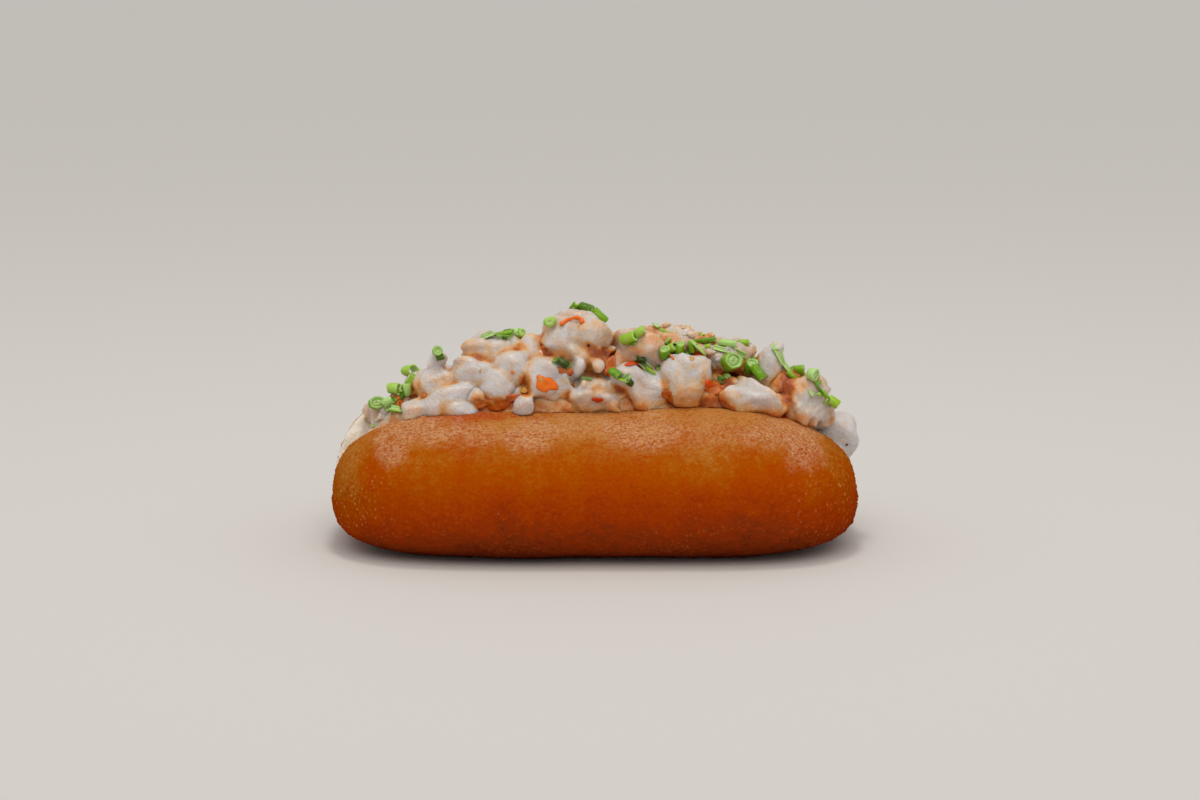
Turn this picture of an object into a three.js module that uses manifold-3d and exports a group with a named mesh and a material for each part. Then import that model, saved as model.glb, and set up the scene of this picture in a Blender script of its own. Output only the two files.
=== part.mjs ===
// A fried golden roll, split along the top and left joined underneath, with a heap of
// prawn pieces and cut spring onion in the split.
// Millimetres, +Z up. X runs along the roll and -Y is the front half.
import * as THREE from 'three';
import { mergeVertices } from 'three/addons/utils/BufferGeometryUtils.js';
import Module from 'manifold-3d';

const wasm = await Module();
wasm.setup();

// ---- driving dimensions -------------------------------------------------------------
const ROLL_LENGTH = 119.6;
const ROLL_WIDTH = 66;
const FRONT_RIDGE = 33.4;      // height of the front half at its cut edge
const REAR_RISE = 1.9;         // how much higher the rear half stands
const WIDEST_AT = 14;          // height of the widest line
const BELLY = 15.2;            // drop of the lower curve, cut off flat at the base
const HINGE_HEIGHT = 11;       // where the two cut faces meet
const RIDGE_HALF_GAP = 11;     // from the middle to either cut edge
const CLEARANCE = 0.32;        // between the crumb and the filling
const HEAP_HEIGHT = 52.5;      // top of the heap, without the onion
const CORE_HEIGHT = 41;
const CORE_LENGTH = 110;
const CORE_HALF_WIDTH = 12.5;
const CORE_RISE = 18;          // from the hinge to the core's widest line
const ONION_SIDES = 6;
const BEND = 0.7;              // how far a piece of prawn is bent out of true
const BEND_LENGTH = 2.7;
const BUMPS = 7;               // swells and dips on one piece
const BUMP_SHARPNESS = 5;
const ROLL_STATIONS = 28;
const ROLL_ROUND = 26;
const CUT_STEPS = 3;

const REAR_CHUNKS = 13;
const CREST_CHUNKS = 6;
const REAR_ONION = 12;
const LOWEST_ONION = 24;       // no onion lies below this height
const VIEW_DIP = 0.19;         // radians, the slope along which onion is dropped in front
const STANDING_SHARE = 0.4;    // of the onion that stands on its cut end

// ---- small helpers ------------------------------------------------------------------
// One repeatable draw between 0 and 1 for a whole number.
function draw(n) {
  const v = Math.sin(n * 12.9898 + 4.1414) * 43758.5453;
  return v - Math.floor(v);
}

const between = (n, low, high) => low + (high - low) * draw(n);
const power = (v, e) => Math.sign(v) * Math.abs(v) ** e;

function toBody(positions, indices) {
  const mesh = new wasm.Mesh({
    numProp: 3,
    vertProperties: new Float32Array(positions),
    triVerts: new Uint32Array(indices),
  });
  return new wasm.Manifold(mesh);
}

function toGeometry({ points, faces }) {
  const geometry = new THREE.BufferGeometry();
  const at = new Float32Array(points.flatMap((p) => [p.x, p.y, p.z]));
  geometry.setAttribute('position', new THREE.BufferAttribute(at, 3));
  geometry.setIndex(faces);
  const merged = mergeVertices(geometry, 1e-4);
  merged.computeVertexNormals();
  return merged;
}

// A closed skin from rings of equal length, with one point at either end.
function skin(rings, first, last) {
  const around = rings[0].length;
  const points = [first, ...rings.flat(), last];
  const faces = [];
  const id = (i, j) => 1 + i * around + (j % around);
  for (let j = 0; j < around; j += 1) {
    faces.push(0, id(0, j + 1), id(0, j));
    faces.push(points.length - 1, id(rings.length - 1, j), id(rings.length - 1, j + 1));
  }
  for (let i = 0; i < rings.length - 1; i += 1) {
    for (let j = 0; j < around; j += 1) {
      faces.push(id(i, j), id(i, j + 1), id(i + 1, j));
      faces.push(id(i, j + 1), id(i + 1, j + 1), id(i + 1, j));
    }
  }
  return { points, faces };
}

// ---- the roll -----------------------------------------------------------------------
// Outer curve of a middle section at u, 0 at the front cut edge, round the underside to
// 1 at the rear cut edge: two half superellipses that meet at the widest line.
function sectionCurve(u) {
  const half = ROLL_WIDTH / 2;
  const upper = 2.2;
  const lower = 2.8;
  const edge = Math.acos((RIDGE_HALF_GAP / half) ** (upper / 2));
  const turn = Math.PI - edge + u * (Math.PI + 2 * edge);
  const s = Math.sin(turn);
  const e = s >= 0 ? upper : lower;
  const tall = s >= 0 ? FRONT_RIDGE - WIDEST_AT : BELLY;
  return [half * power(Math.cos(turn), 2 / e), WIDEST_AT + tall * power(s, 2 / e)];
}

// How far the section stays open at x, from 1 in the middle to 0 at the tips. up runs
// from 0 for the underside to 1 for the top, and the ends are squarer below. The rear
// half is squarer too at its left end.
function openness(x, y, up) {
  const rear = x < 0 ? up * (0.5 + 0.5 * Math.tanh(y / 5)) : 0;
  const p = 5.4 - 1.4 * up + 1.5 * rear;
  const q = 2.7 - 0.4 * up + 0.3 * rear;
  return (1 - Math.abs(x / (ROLL_LENGTH / 2)) ** p) ** (1 / q);
}

// A point of the roll: the section closes on the hinge line towards both ends, and its
// top waves gently along the roll.
function rollPoint(x, y, z, up) {
  const f = openness(x, y, up);
  const py = f * y;
  let pz = HINGE_HEIGHT + f * (z - HINGE_HEIGHT);
  const high = Math.min(Math.max((pz - HINGE_HEIGHT) / (FRONT_RIDGE - HINGE_HEIGHT), 0), 2);
  const rear = 1 / (1 + Math.exp(-py / 4));
  pz += high * (0.55 * Math.sin((x - 6) / 15) - 0.3 * Math.cos(x / 9) + REAR_RISE * rear);
  return new THREE.Vector3(x, py, Math.max(pz, 0));
}

function rollShell() {
  const outer = Array.from({ length: ROLL_ROUND + 1 }, (_, j) => sectionCurve(j / ROLL_ROUND));
  const near = outer[0];
  const far = outer[ROLL_ROUND];
  const cutPoint = ([y, z], k) => [y * k, HINGE_HEIGHT + (z - HINGE_HEIGHT) * k];
  const steps = Array.from({ length: CUT_STEPS }, (_, j) => (j + 1) / CUT_STEPS);
  const loop = [
    ...outer,
    ...steps.map((k) => cutPoint(far, 1 - k)),
    ...steps.slice(0, -1).map((k) => cutPoint(near, k)),
  ];
  const heightShare = ([y, z]) => (z - HINGE_HEIGHT) / Math.hypot(y, z - HINGE_HEIGHT);
  const ups = loop.map((at, j) => (heightShare(j > ROLL_ROUND ? near : at) + 1) / 2);
  const tip = ROLL_LENGTH / 2;
  const rings = [];
  for (let i = 1; i < ROLL_STATIONS; i += 1) {
    const x = tip * Math.sin(Math.PI * (i / ROLL_STATIONS - 0.5));
    rings.push(loop.map(([y, z], j) => rollPoint(x, y, z, ups[j])));
  }
  const first = new THREE.Vector3(-tip, 0, HINGE_HEIGHT);
  const last = new THREE.Vector3(tip, 0, HINGE_HEIGHT);
  return skin(rings, first, last);
}

// The same shell with every point moved out along the mean of its face normals.
function grown(shell, by) {
  const normals = shell.points.map(() => new THREE.Vector3());
  for (let f = 0; f < shell.faces.length; f += 3) {
    const [a, b, c] = [0, 1, 2].map((k) => shell.points[shell.faces[f + k]]);
    const n = b.clone().sub(a).cross(c.clone().sub(a));
    for (let k = 0; k < 3; k += 1) {
      normals[shell.faces[f + k]].add(n);
    }
  }
  const points = shell.points.map((p, i) => p.clone().addScaledVector(normals[i].normalize(), by));
  return { points, faces: shell.faces };
}

const shellBody = (s) => toBody(s.points.flatMap((p) => [p.x, p.y, p.z]), s.faces);

const rollSkin = rollShell();

// The largest connected skin of a body: loose scraps and closed-in hollows are left out.
function outerShell(body) {
  const mesh = body.getMesh();
  const tri = mesh.triVerts;
  const count = mesh.vertProperties.length / mesh.numProp;
  const key = new Map();
  const same = new Uint32Array(count);
  const at = (i) => new THREE.Vector3().fromArray(mesh.vertProperties, i * mesh.numProp);
  for (let i = 0; i < count; i += 1) {
    const name = at(i).toArray().join();
    if (!key.has(name)) {
      key.set(name, i);
    }
    same[i] = key.get(name);
  }
  const parent = Uint32Array.from(same, (v, i) => i);
  const root = (i) => {
    let r = i;
    while (parent[r] !== r) {
      parent[r] = parent[parent[r]];
      r = parent[r];
    }
    return r;
  };
  for (let f = 0; f < tri.length; f += 3) {
    parent[root(same[tri[f + 1]])] = root(same[tri[f]]);
    parent[root(same[tri[f + 2]])] = root(same[tri[f]]);
  }
  const size = new Map();
  for (let f = 0; f < tri.length; f += 3) {
    const [a, b, c] = [at(tri[f]), at(tri[f + 1]), at(tri[f + 2])];
    const r = root(same[tri[f]]);
    size.set(r, (size.get(r) ?? 0) + a.dot(b.cross(c)) / 6);
  }
  const best = [...size.entries()].reduce((a, b) => (a[1] > b[1] ? a : b))[0];
  const faces = [];
  for (let f = 0; f < tri.length; f += 3) {
    if (root(same[tri[f]]) === best) {
      faces.push(tri[f], tri[f + 1], tri[f + 2]);
    }
  }
  const used = [...new Set(faces)];
  const renumber = new Map(used.map((v, i) => [v, i]));
  return {
    points: used.map(at),
    faces: faces.map((v) => renumber.get(v)),
  };
}

// ---- prawn pieces -------------------------------------------------------------------
// Bends a point by slow sine waves across it, so that no piece is a plain oval.
function bent(p, seed) {
  const [x, y, z] = [p.x, p.y, p.z].map((v) => v / BEND_LENGTH);
  return p.clone().add(new THREE.Vector3(
    Math.sin(1.3 * y + 2.1 * z + seed),
    Math.sin(1.7 * z + 1.1 * x + 2 * seed),
    Math.sin(1.5 * x + 1.9 * y + 3 * seed),
  ).multiplyScalar(BEND));
}

// One piece: a rounded block whose skin swells and dips at a few seeded places.
// size is three half lengths, tilt lifts its right end, turn swings it about Z, square
// is 2 for an ellipsoid and more for a blunter block.
function chunk({ at, size, tilt = 0, turn = 0, square = 2.6, seed = 1, rough = 0.14, fine = 7 }) {
  const rings = [];
  const across = Math.round(fine * 1.3);
  const bumps = [];
  for (let b = 0; b < BUMPS; b += 1) {
    const z = between(seed * 31 + b * 3, -1, 1);
    const t = between(seed * 31 + b * 3 + 1, 0, 2 * Math.PI);
    const r = Math.sqrt(1 - z * z);
    const lift = between(seed * 31 + b * 3 + 2, -1, 1) * rough;
    bumps.push([new THREE.Vector3(r * Math.cos(t), r * Math.sin(t), z), lift]);
  }
  const place = (dir) => {
    const long = (Math.abs(dir.x) ** square + Math.abs(dir.y) ** square
      + Math.abs(dir.z) ** square) ** (-1 / square);
    let swell = 1;
    for (const [m, lift] of bumps) {
      swell += lift * Math.exp(BUMP_SHARPNESS * (dir.dot(m) - 1));
    }
    const p = dir.clone().multiplyScalar(long * swell);
    p.multiply(new THREE.Vector3(...size));
    p.copy(bent(p, seed));
    p.applyAxisAngle(new THREE.Vector3(0, 1, 0), -tilt * Math.PI / 180);
    p.applyAxisAngle(new THREE.Vector3(0, 0, 1), turn * Math.PI / 180);
    return p.add(new THREE.Vector3(...at));
  };
  for (let i = 1; i < fine; i += 1) {
    const lat = Math.PI * i / fine;
    const ring = [];
    for (let j = 0; j < across; j += 1) {
      const lon = 2 * Math.PI * (j + 0.5 * (i % 2)) / across;
      ring.push(place(new THREE.Vector3(
        -Math.cos(lat), Math.sin(lat) * Math.cos(lon), Math.sin(lat) * Math.sin(lon),
      )));
    }
    rings.push(ring);
  }
  const ends = [new THREE.Vector3(-1, 0, 0), new THREE.Vector3(1, 0, 0)];
  return shellBody(skin(rings, place(ends[0]), place(ends[1])));
}

// The pieces that show from the front, left to right.
const FRONT_CHUNKS = [
  { at: [-46.5, 3, 27.4], size: [6, 6.8, 5.2], tilt: 18, seed: 1 },
  { at: [-40.5, -10.8, 32], size: [2.9, 2.8, 2.6], square: 4, seed: 2, fine: 5 },
  { at: [-32.5, -11.5, 34.8], size: [6.8, 3.6, 3.2], tilt: 24, turn: 4, seed: 3, fine: 6 },
  { at: [-29.5, -14, 32.7], size: [4.4, 3, 2.4], tilt: -8, square: 2.8, seed: 4, fine: 5 },
  { at: [-26.5, -11, 34.2], size: [3.4, 3, 2.8], seed: 5, fine: 5 },
  { at: [-35, -4, 37.6], size: [6.2, 6.5, 5.2], seed: 6 },
  { at: [-35.3, -3.5, 42], size: [2, 2.2, 2.1], square: 4, seed: 7, fine: 4 },
  { at: [-26.5, -4.5, 39.6], size: [5.4, 5.5, 4.8], seed: 8, fine: 6 },
  { at: [-21.8, -9.2, 37], size: [5.4, 5, 4.1], tilt: 14, seed: 9, rough: 0.1 },
  { at: [-18, -8, 40.6], size: [4.6, 4.6, 4.7], tilt: 30, seed: 10, rough: 0.1 },
  { at: [-22, -0.5, 43.4], size: [8.2, 6, 4.2], seed: 11, rough: 0.2 },
  { at: [-12.8, -1, 43.8], size: [5.6, 5, 4], tilt: 12, seed: 12, fine: 6 },
  { at: [-3.8, -2.5, 45.8], size: [7.8, 7.2, 7.5], square: 2.9, seed: 13, rough: 0.12, fine: 9 },
  { at: [-3, -8.4, 41.6], size: [1.9, 2, 3.2], tilt: 12, seed: 14, fine: 5 },
  { at: [0.9, -8.4, 42.1], size: [2, 2.1, 2.8], seed: 15, fine: 5 },
  { at: [-9.6, -9.2, 37.9], size: [6.8, 5.8, 5.9], tilt: -12, seed: 16, fine: 8 },
  { at: [-15.4, -15.2, 33.7], size: [2.5, 2, 1.7], seed: 17, rough: 0.05, fine: 5 },
  { at: [1, -11.2, 35.3], size: [6.8, 4.8, 3.6], seed: 18, rough: 0.2, fine: 7 },
  { at: [10.8, -10.4, 37.2], size: [8.4, 5, 4.4], tilt: -27, seed: 19, rough: 0.1, fine: 8 },
  { at: [9.6, -2.8, 43.8], size: [5.9, 6, 5.2], seed: 20 },
  { at: [18.2, 3.5, 44.6], size: [7.4, 6.5, 3.8], tilt: -6, seed: 21 },
  { at: [20.8, -11, 40], size: [5.7, 5.2, 4.5], square: 2.8, seed: 22, rough: 0.08, fine: 8 },
  { at: [20.2, -11, 36.2], size: [3.9, 4.4, 4.4], seed: 23, fine: 6 },
  { at: [29.2, 0.5, 42.4], size: [7.8, 6.5, 4], tilt: -9, seed: 24 },
  { at: [27.5, -9.5, 35.6], size: [5, 4.2, 3.6], seed: 25, fine: 6 },
  { at: [35.8, -11.2, 35], size: [7.8, 5, 3.8], tilt: -22, seed: 26, rough: 0.1 },
  { at: [39.8, -1, 39.4], size: [4, 4.4, 5.2], tilt: -8, seed: 27 },
  { at: [42.6, -3.5, 35.4], size: [4.2, 4, 4.6], seed: 30, fine: 6 },
  { at: [48.2, -4.8, 33], size: [5.8, 6, 5.2], tilt: -12, square: 2.8, seed: 28, rough: 0.2 },
  { at: [53.6, 2.5, 24.4], size: [5.2, 7.4, 8], tilt: -14, seed: 29, rough: 0.06, fine: 8 },
];

// Height of the heap along the roll: an arch that falls to the cut ends.
function heapTop(x) {
  const k = Math.min(Math.abs((x + 1) / 58), 1);
  return HINGE_HEIGHT + (HEAP_HEIGHT - HINGE_HEIGHT) * (1 - k ** 2.4) ** 0.75;
}

// The rest of the heap: a row behind and a row of pieces under its crest.
function hiddenChunks() {
  const list = [];
  for (let i = 0; i < REAR_CHUNKS; i += 1) {
    const n = 500 + i * 7;
    const x = -45 + 92 * i / (REAR_CHUNKS - 1) + between(n, -1.5, 1.5);
    const half = between(n + 1, 4.6, 6.6);
    const low = i % 2 === 0;
    const y = low ? between(n + 2, 11.5, 13) : between(n + 2, 6.5, 8.5);
    const z = heapTop(x) * 0.93 - (low ? 9.6 : 5.4) - half * 0.35;
    list.push({
      at: [x, y, Math.max(z, 24)],
      size: [half, half * between(n + 3, 0.75, 0.95), half * between(n + 4, 0.65, 0.85)],
      tilt: between(n + 5, -25, 25),
      turn: between(n + 6, -40, 40),
      seed: 40 + i,
      fine: 5,
    });
  }
  for (let i = 0; i < CREST_CHUNKS; i += 1) {
    const n = 900 + i * 7;
    const x = -40 + 82 * i / (CREST_CHUNKS - 1) + between(n, -2, 2);
    const half = between(n + 1, 5, 6.5);
    list.push({
      at: [x, between(n + 2, 2, 4), heapTop(x) * 0.95 - 5.6],
      size: [half, half * 0.9, half * 0.75],
      tilt: between(n + 3, -20, 20),
      turn: between(n + 4, -40, 40),
      seed: 60 + i,
      fine: 5,
    });
  }
  return list;
}

// The mass under the pieces: it fills the split and follows the heap below them.
function heapCore() {
  const stations = 12;
  const around = 12;
  const rings = [];
  const half = CORE_LENGTH / 2;
  const floor = HINGE_HEIGHT - 1;
  for (let i = 1; i < stations; i += 1) {
    const along = Math.PI * (i / stations - 0.5);
    const x = half * Math.sin(along);
    const f = Math.cos(along) ** 0.7;
    const ring = [];
    for (let j = 0; j < around; j += 1) {
      const turn = 2 * Math.PI * (j + 0.5) / around;
      const y = CORE_HALF_WIDTH * power(Math.cos(turn), 0.8) * f;
      const s = power(Math.sin(turn), 0.8);
      const mid = floor + CORE_RISE * f;
      const reach = s > 0 ? CORE_HEIGHT - floor - CORE_RISE : CORE_RISE;
      const z = mid + reach * f * s;
      ring.push(new THREE.Vector3(x, y, z));
    }
    rings.push(ring);
  }
  const first = new THREE.Vector3(-half, 0, floor + 2);
  const last = new THREE.Vector3(half, 0, floor + 2);
  return shellBody(skin(rings, first, last));
}

let heap = heapCore();
for (const spec of [...FRONT_CHUNKS, ...hiddenChunks()]) {
  heap = heap.add(chunk(spec));
}

// ---- spring onion -------------------------------------------------------------------
// Where a line first meets the heap, with the face normal there, or null.
function firstHit(mesh, from, way) {
  let best = null;
  const [a, b, c] = [new THREE.Vector3(), new THREE.Vector3(), new THREE.Vector3()];
  const ray = new THREE.Ray(from, way);
  const p = mesh.vertProperties;
  const hit = new THREE.Vector3();
  for (let f = 0; f < mesh.triVerts.length; f += 3) {
    a.fromArray(p, mesh.triVerts[f] * mesh.numProp);
    b.fromArray(p, mesh.triVerts[f + 1] * mesh.numProp);
    c.fromArray(p, mesh.triVerts[f + 2] * mesh.numProp);
    if (ray.intersectTriangle(a, b, c, true, hit)) {
      const far = hit.distanceTo(from);
      if (!best || far < best.far) {
        const normal = b.clone().sub(a).cross(c.clone().sub(a)).normalize();
        best = { far, at: hit.clone(), normal };
      }
    }
  }
  return best;
}

// Clusters seen from the front: [x, z, spread along, spread up, pieces].
const ONION_CLUSTERS = [
  [-46.5, 33, 3.0, 3.0, 4],
  [-43.6, 37, 1.2, 4, 3],
  [-36.2, 45.8, 0.3, 0.3, 1],
  [-20.5, 49, 4, 1.2, 4],
  [-11.3, 51, 0.4, 0.4, 1],
  [-3, 55, 5, 1, 4],
  [4.8, 37.8, 1.4, 1.6, 2],
  [11.2, 48, 2.2, 1.8, 2],
  [13.6, 40, 3, 2, 3],
  [19.4, 45.5, 4.4, 2.2, 6],
  [28, 47, 5.2, 1.6, 5],
  [34.2, 42, 4.8, 2.4, 7],
  [30.8, 38, 2, 1.8, 2],
  [45, 40.5, 2.8, 3.6, 7],
  [51.2, 35, 2.6, 3.2, 4],
];

// One cut length of onion stem: a short rod with flat ends.
function onionPiece(at, axis, radius, length) {
  const end = new THREE.Quaternion().setFromUnitVectors(new THREE.Vector3(1, 0, 0), axis);
  const put = (x, j) => {
    const t = 2 * Math.PI * j / ONION_SIDES;
    const p = new THREE.Vector3(x, radius * Math.cos(t), radius * Math.sin(t));
    return p.applyQuaternion(end).add(at);
  };
  const ring = (x) => Array.from({ length: ONION_SIDES }, (_, j) => put(x, j));
  const centre = (x) => new THREE.Vector3(x, 0, 0).applyQuaternion(end).add(at);
  const half = length / 2;
  return shellBody(skin([ring(-half), ring(half)], centre(-half), centre(half)));
}

function onionSpots() {
  const spots = [];
  const view = new THREE.Vector3(0, Math.cos(VIEW_DIP), -Math.sin(VIEW_DIP));
  let n = 2000;
  for (const [cx, cz, wide, tall, pieces] of ONION_CLUSTERS) {
    for (let i = 0; i < pieces; i += 1) {
      n += 11;
      const x = cx + wide * between(n, -1, 1);
      const z = cz + tall * between(n + 1, -1, 1);
      spots.push({ n, from: new THREE.Vector3(x, 0, z).addScaledVector(view, -80), way: view });
    }
  }
  const down = new THREE.Vector3(0, 0, -1);
  for (let i = 0; i < REAR_ONION; i += 1) {
    n += 11;
    const x = -44 + 92 * (i + between(n, 0, 1)) / REAR_ONION;
    const from = new THREE.Vector3(x, between(n + 1, 1, 15), 90);
    spots.push({ n, from, way: down });
  }
  return spots;
}

const heapMesh = heap.getMesh();
const down = new THREE.Vector3(0, 0, -1);
for (const { n, from, way } of onionSpots()) {
  const overhead = new THREE.Vector3(from.x, between(n + 2, -4, 0), 90);
  const hit = firstHit(heapMesh, from, way) ?? firstHit(heapMesh, overhead, down);
  if (hit && hit.at.z > LOWEST_ONION) {
    const radius = between(n + 3, 1, 1.85);
    const length = between(n + 4, 1.4, 3.2);
    const spin = between(n + 5, 0, 2 * Math.PI);
    const side = new THREE.Vector3(Math.cos(spin), Math.sin(spin), 0.35);
    side.addScaledVector(hit.normal, -side.dot(hit.normal)).normalize();
    const standing = draw(n + 6) < STANDING_SHARE;
    const axis = side.clone().addScaledVector(hit.normal, standing ? 1.8 : 0.3).normalize();
    const lift = standing ? length * 0.25 : radius * 0.45;
    heap = heap.add(onionPiece(hit.at.addScaledVector(hit.normal, lift), axis, radius, length));
  }
}

// The filling keeps clear of the crumb and stays one body.
const cut = heap.subtract(shellBody(grown(rollSkin, CLEARANCE)));
const filling = outerShell(cut);

// ---- the part -----------------------------------------------------------------------
const crust = new THREE.MeshStandardMaterial({ color: 0xb06a2c, roughness: 0.45 });
const prawn = new THREE.MeshStandardMaterial({ color: 0xdcc4ae, roughness: 0.4 });

const bun = new THREE.Mesh(toGeometry(rollSkin), crust);
bun.name = 'bun';
const prawnFilling = new THREE.Mesh(toGeometry(filling), prawn);
prawnFilling.name = 'prawn_filling';

const group = new THREE.Group();
group.name = 'prawn_bao_bun';
group.add(bun, prawnFilling);
export default group;
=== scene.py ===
"""A prawn bao bun: a fried golden roll, split along its top, with a heap of chopped prawn
and spring onion in the split. Shapes are worked out in millimetres, in the frame's axes:
X along the roll, -Y towards the front half, Z up from its flat underside."""

import bpy
import numpy as np
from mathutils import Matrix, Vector
from mathutils.bvhtree import BVHTree


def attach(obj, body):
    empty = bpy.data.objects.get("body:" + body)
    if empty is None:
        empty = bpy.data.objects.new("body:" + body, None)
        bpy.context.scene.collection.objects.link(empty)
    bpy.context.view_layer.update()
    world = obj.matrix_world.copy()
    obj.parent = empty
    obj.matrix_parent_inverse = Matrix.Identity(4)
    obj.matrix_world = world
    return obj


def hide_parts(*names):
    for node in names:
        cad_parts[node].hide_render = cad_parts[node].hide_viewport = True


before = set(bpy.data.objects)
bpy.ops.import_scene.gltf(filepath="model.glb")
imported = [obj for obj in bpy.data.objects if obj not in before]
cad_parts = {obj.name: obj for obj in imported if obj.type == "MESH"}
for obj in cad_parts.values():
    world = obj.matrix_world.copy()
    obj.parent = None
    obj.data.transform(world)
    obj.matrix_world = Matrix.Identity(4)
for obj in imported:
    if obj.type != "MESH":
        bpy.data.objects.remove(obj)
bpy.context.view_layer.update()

# ---- camera -----------------------------------------------------------------------------
# A short telephoto view from a little above the heap, so that the front half of the roll
# is seen almost square on and its top only just shows.
MM = 0.001
CAMERA_AT = (1.2, -638.0, 143.8)
CAMERA_PITCH = 9.9
CAMERA_LENS = 85.0


def new_object(name, data):
    """An object of the scene that shows some data, at the origin."""
    made = bpy.data.objects.new(name, data)
    bpy.context.collection.objects.link(made)
    return made


lens = bpy.data.cameras.new("camera")
lens.lens = CAMERA_LENS
lens.sensor_width = 36.0
lens.clip_end = 30.0
camera = new_object("camera", lens)
camera.location = [v * MM for v in CAMERA_AT]
camera.rotation_euler = (np.radians(90.0 - CAMERA_PITCH), 0.0, 0.0)
bpy.context.scene.camera = camera

# ---- the roll ---------------------------------------------------------------------------
# A soft white milk-bread dough, proved and then deep fried: a thin blistered golden crust,
# darker underneath where it lay longest in the oil, with painted shade deepening that low
# down and painted light on its top and ends. It is cut along the top with a knife
# and left joined underneath, so both cut faces show plain white crumb.
ROLL_LENGTH = 119.6
ROLL_WIDTH = 66.0
FRONT_RIDGE = 33.4
REAR_RISE = 1.9
WIDEST_AT = 14.0
BELLY = 15.2
UPPER_ROUNDNESS = 2.2
LOWER_ROUNDNESS = 2.8
HINGE_HEIGHT = 11.0
RIDGE_HALF_GAP = 11.0
ROLL_STATIONS = 268
ROLL_ROUND = 282
CUT_STEPS = 34
EDGE_SOFTNESS = 2.0
BLISTER_SIZE = 1.25
BLISTER_HEIGHT = 0.3
FINE_BLISTER_HEIGHT = 0.12
PORE_SIZE = 1.7
PORE_DEPTH = 0.45
CRUST_THICKNESS = 0.6
# Where light catches the crust's shoulders: a painted sheen of pale grain in its colour.
SHEEN_PATCHES = [
    # x, height, half length, half height, strength
    (-40.5, 29.0, 9.0, 2.6, 0.9), (-45.5, 24.6, 3.6, 2.4, 0.9), (-27.0, 28.6, 9.0, 1.8, 0.5),
    (-14.0, 28.4, 6.5, 2.4, 0.85), (-3.0, 30.0, 6.0, 2.4, 0.3), (10.6, 29.2, 8.0, 2.8, 0.8),
    (27.0, 29.0, 9.0, 2.0, 0.25), (39.5, 28.8, 6.5, 2.6, 0.65), (46.5, 25.0, 4.4, 4.0, 0.9),
]
# Mostly mottling; the first row is painted shade under the filling, the two end ones painted
# light.
TONE_LIGHT_AND_SHADE_PATCHES = [
    # x, height, half length, half height, how much paler
    (-26.0, 32.4, 20.0, 1.9, -0.3), (-49.0, 19.5, 3.4, 3.6, -0.14), (-5.5, 16.0, 3.4, 9.0, 0.08),
    (22.5, 23.0, 6.5, 4.8, 0.1), (-3.0, 30.0, 6.5, 4.0, 0.1), (31.0, 31.8, 13.0, 1.8, 0.08),
    (-56.0, 15.0, 7.0, 11.0, 0.18), (55.0, 18.0, 8.0, 14.0, 0.1), (2.0, 8.0, 11.0, 3.2, -0.09),
    (33.0, 10.0, 9.0, 3.6, -0.09), (35.0, 13.0, 2.6, 1.8, 0.14), (-20.0, 14.0, 3.0, 5.0, -0.06),
    (12.0, 17.0, 4.0, 5.0, -0.05), (-33.0, 17.0, 5.0, 4.0, 0.05),
]


def power(v, e):
    """A signed power: the sign of v times its size to the power e."""
    return np.sign(v) * np.abs(v) ** e


def smooth(low, high, v):
    """A soft step from 0 at low to 1 at high."""
    t = np.clip((v - low) / (high - low), 0.0, 1.0)
    return t * t * (3.0 - 2.0 * t)


def lattice(cell, seed):
    """One repeatable number between 0 and 1 for each whole-number cell (x, y, z)."""
    c = cell.astype(np.int64)
    h = c[..., 0] * 73856093 ^ c[..., 1] * 19349663 ^ c[..., 2] * 83492791 ^ seed * 51407
    h = (h ^ (h >> 13)) * 1274126177 & 0xFFFFFFFF
    h = (h ^ (h >> 15)) * 668265263 & 0xFFFFFFFF
    return (h ^ (h >> 16)) / 2.0**32


def noise(p, size, seed=0):
    """Smooth noise from -1 to 1: lattice numbers a size apart, blended along each axis."""
    q = np.asarray(p) / size + 1000.0
    base = np.floor(q)
    t = q - base
    t = t * t * (3.0 - 2.0 * t)
    total = 0.0
    for corner in np.ndindex(2, 2, 2):
        c = np.array(corner)
        weight = np.prod(np.where(c == 1, t, 1.0 - t), axis=-1)
        total = total + weight * lattice(base + c, seed)
    return total * 2.0 - 1.0


def cells(p, size, seed=0):
    """Scattered seeds, one to a cell: the distance to the nearest and the next nearest,
    in cell sizes, and a number between 0 and 1 that belongs to the nearest."""
    q = np.asarray(p) / size + 1000.0
    base = np.floor(q)
    near = np.full(q.shape[:-1], 9.0)
    next_near = near.copy()
    own = np.zeros_like(near)
    for corner in np.ndindex(3, 3, 3):
        cell = base + np.array(corner) - 1.0
        jitter = np.stack([lattice(cell, seed + k) for k in (1, 2, 3)], -1)
        gap = np.linalg.norm(cell + 0.15 + 0.7 * jitter - q, axis=-1)
        closer = gap < near
        next_near = np.where(closer, near, np.minimum(next_near, gap))
        own = np.where(closer, lattice(cell, seed + 4), own)
        near = np.where(closer, gap, near)
    return near, next_near, own


def stacked(x, y, z):
    """Points from grids of their coordinates, each repeated where it has one row."""
    return np.stack(np.broadcast_arrays(x, y, z), -1)


def domed(gap, rim):
    """A round dome over each seed: 1 in its middle, falling to 0 at the rim."""
    return np.clip(1.0 - (gap / rim) ** 2, 0.0, 1.0)


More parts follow.
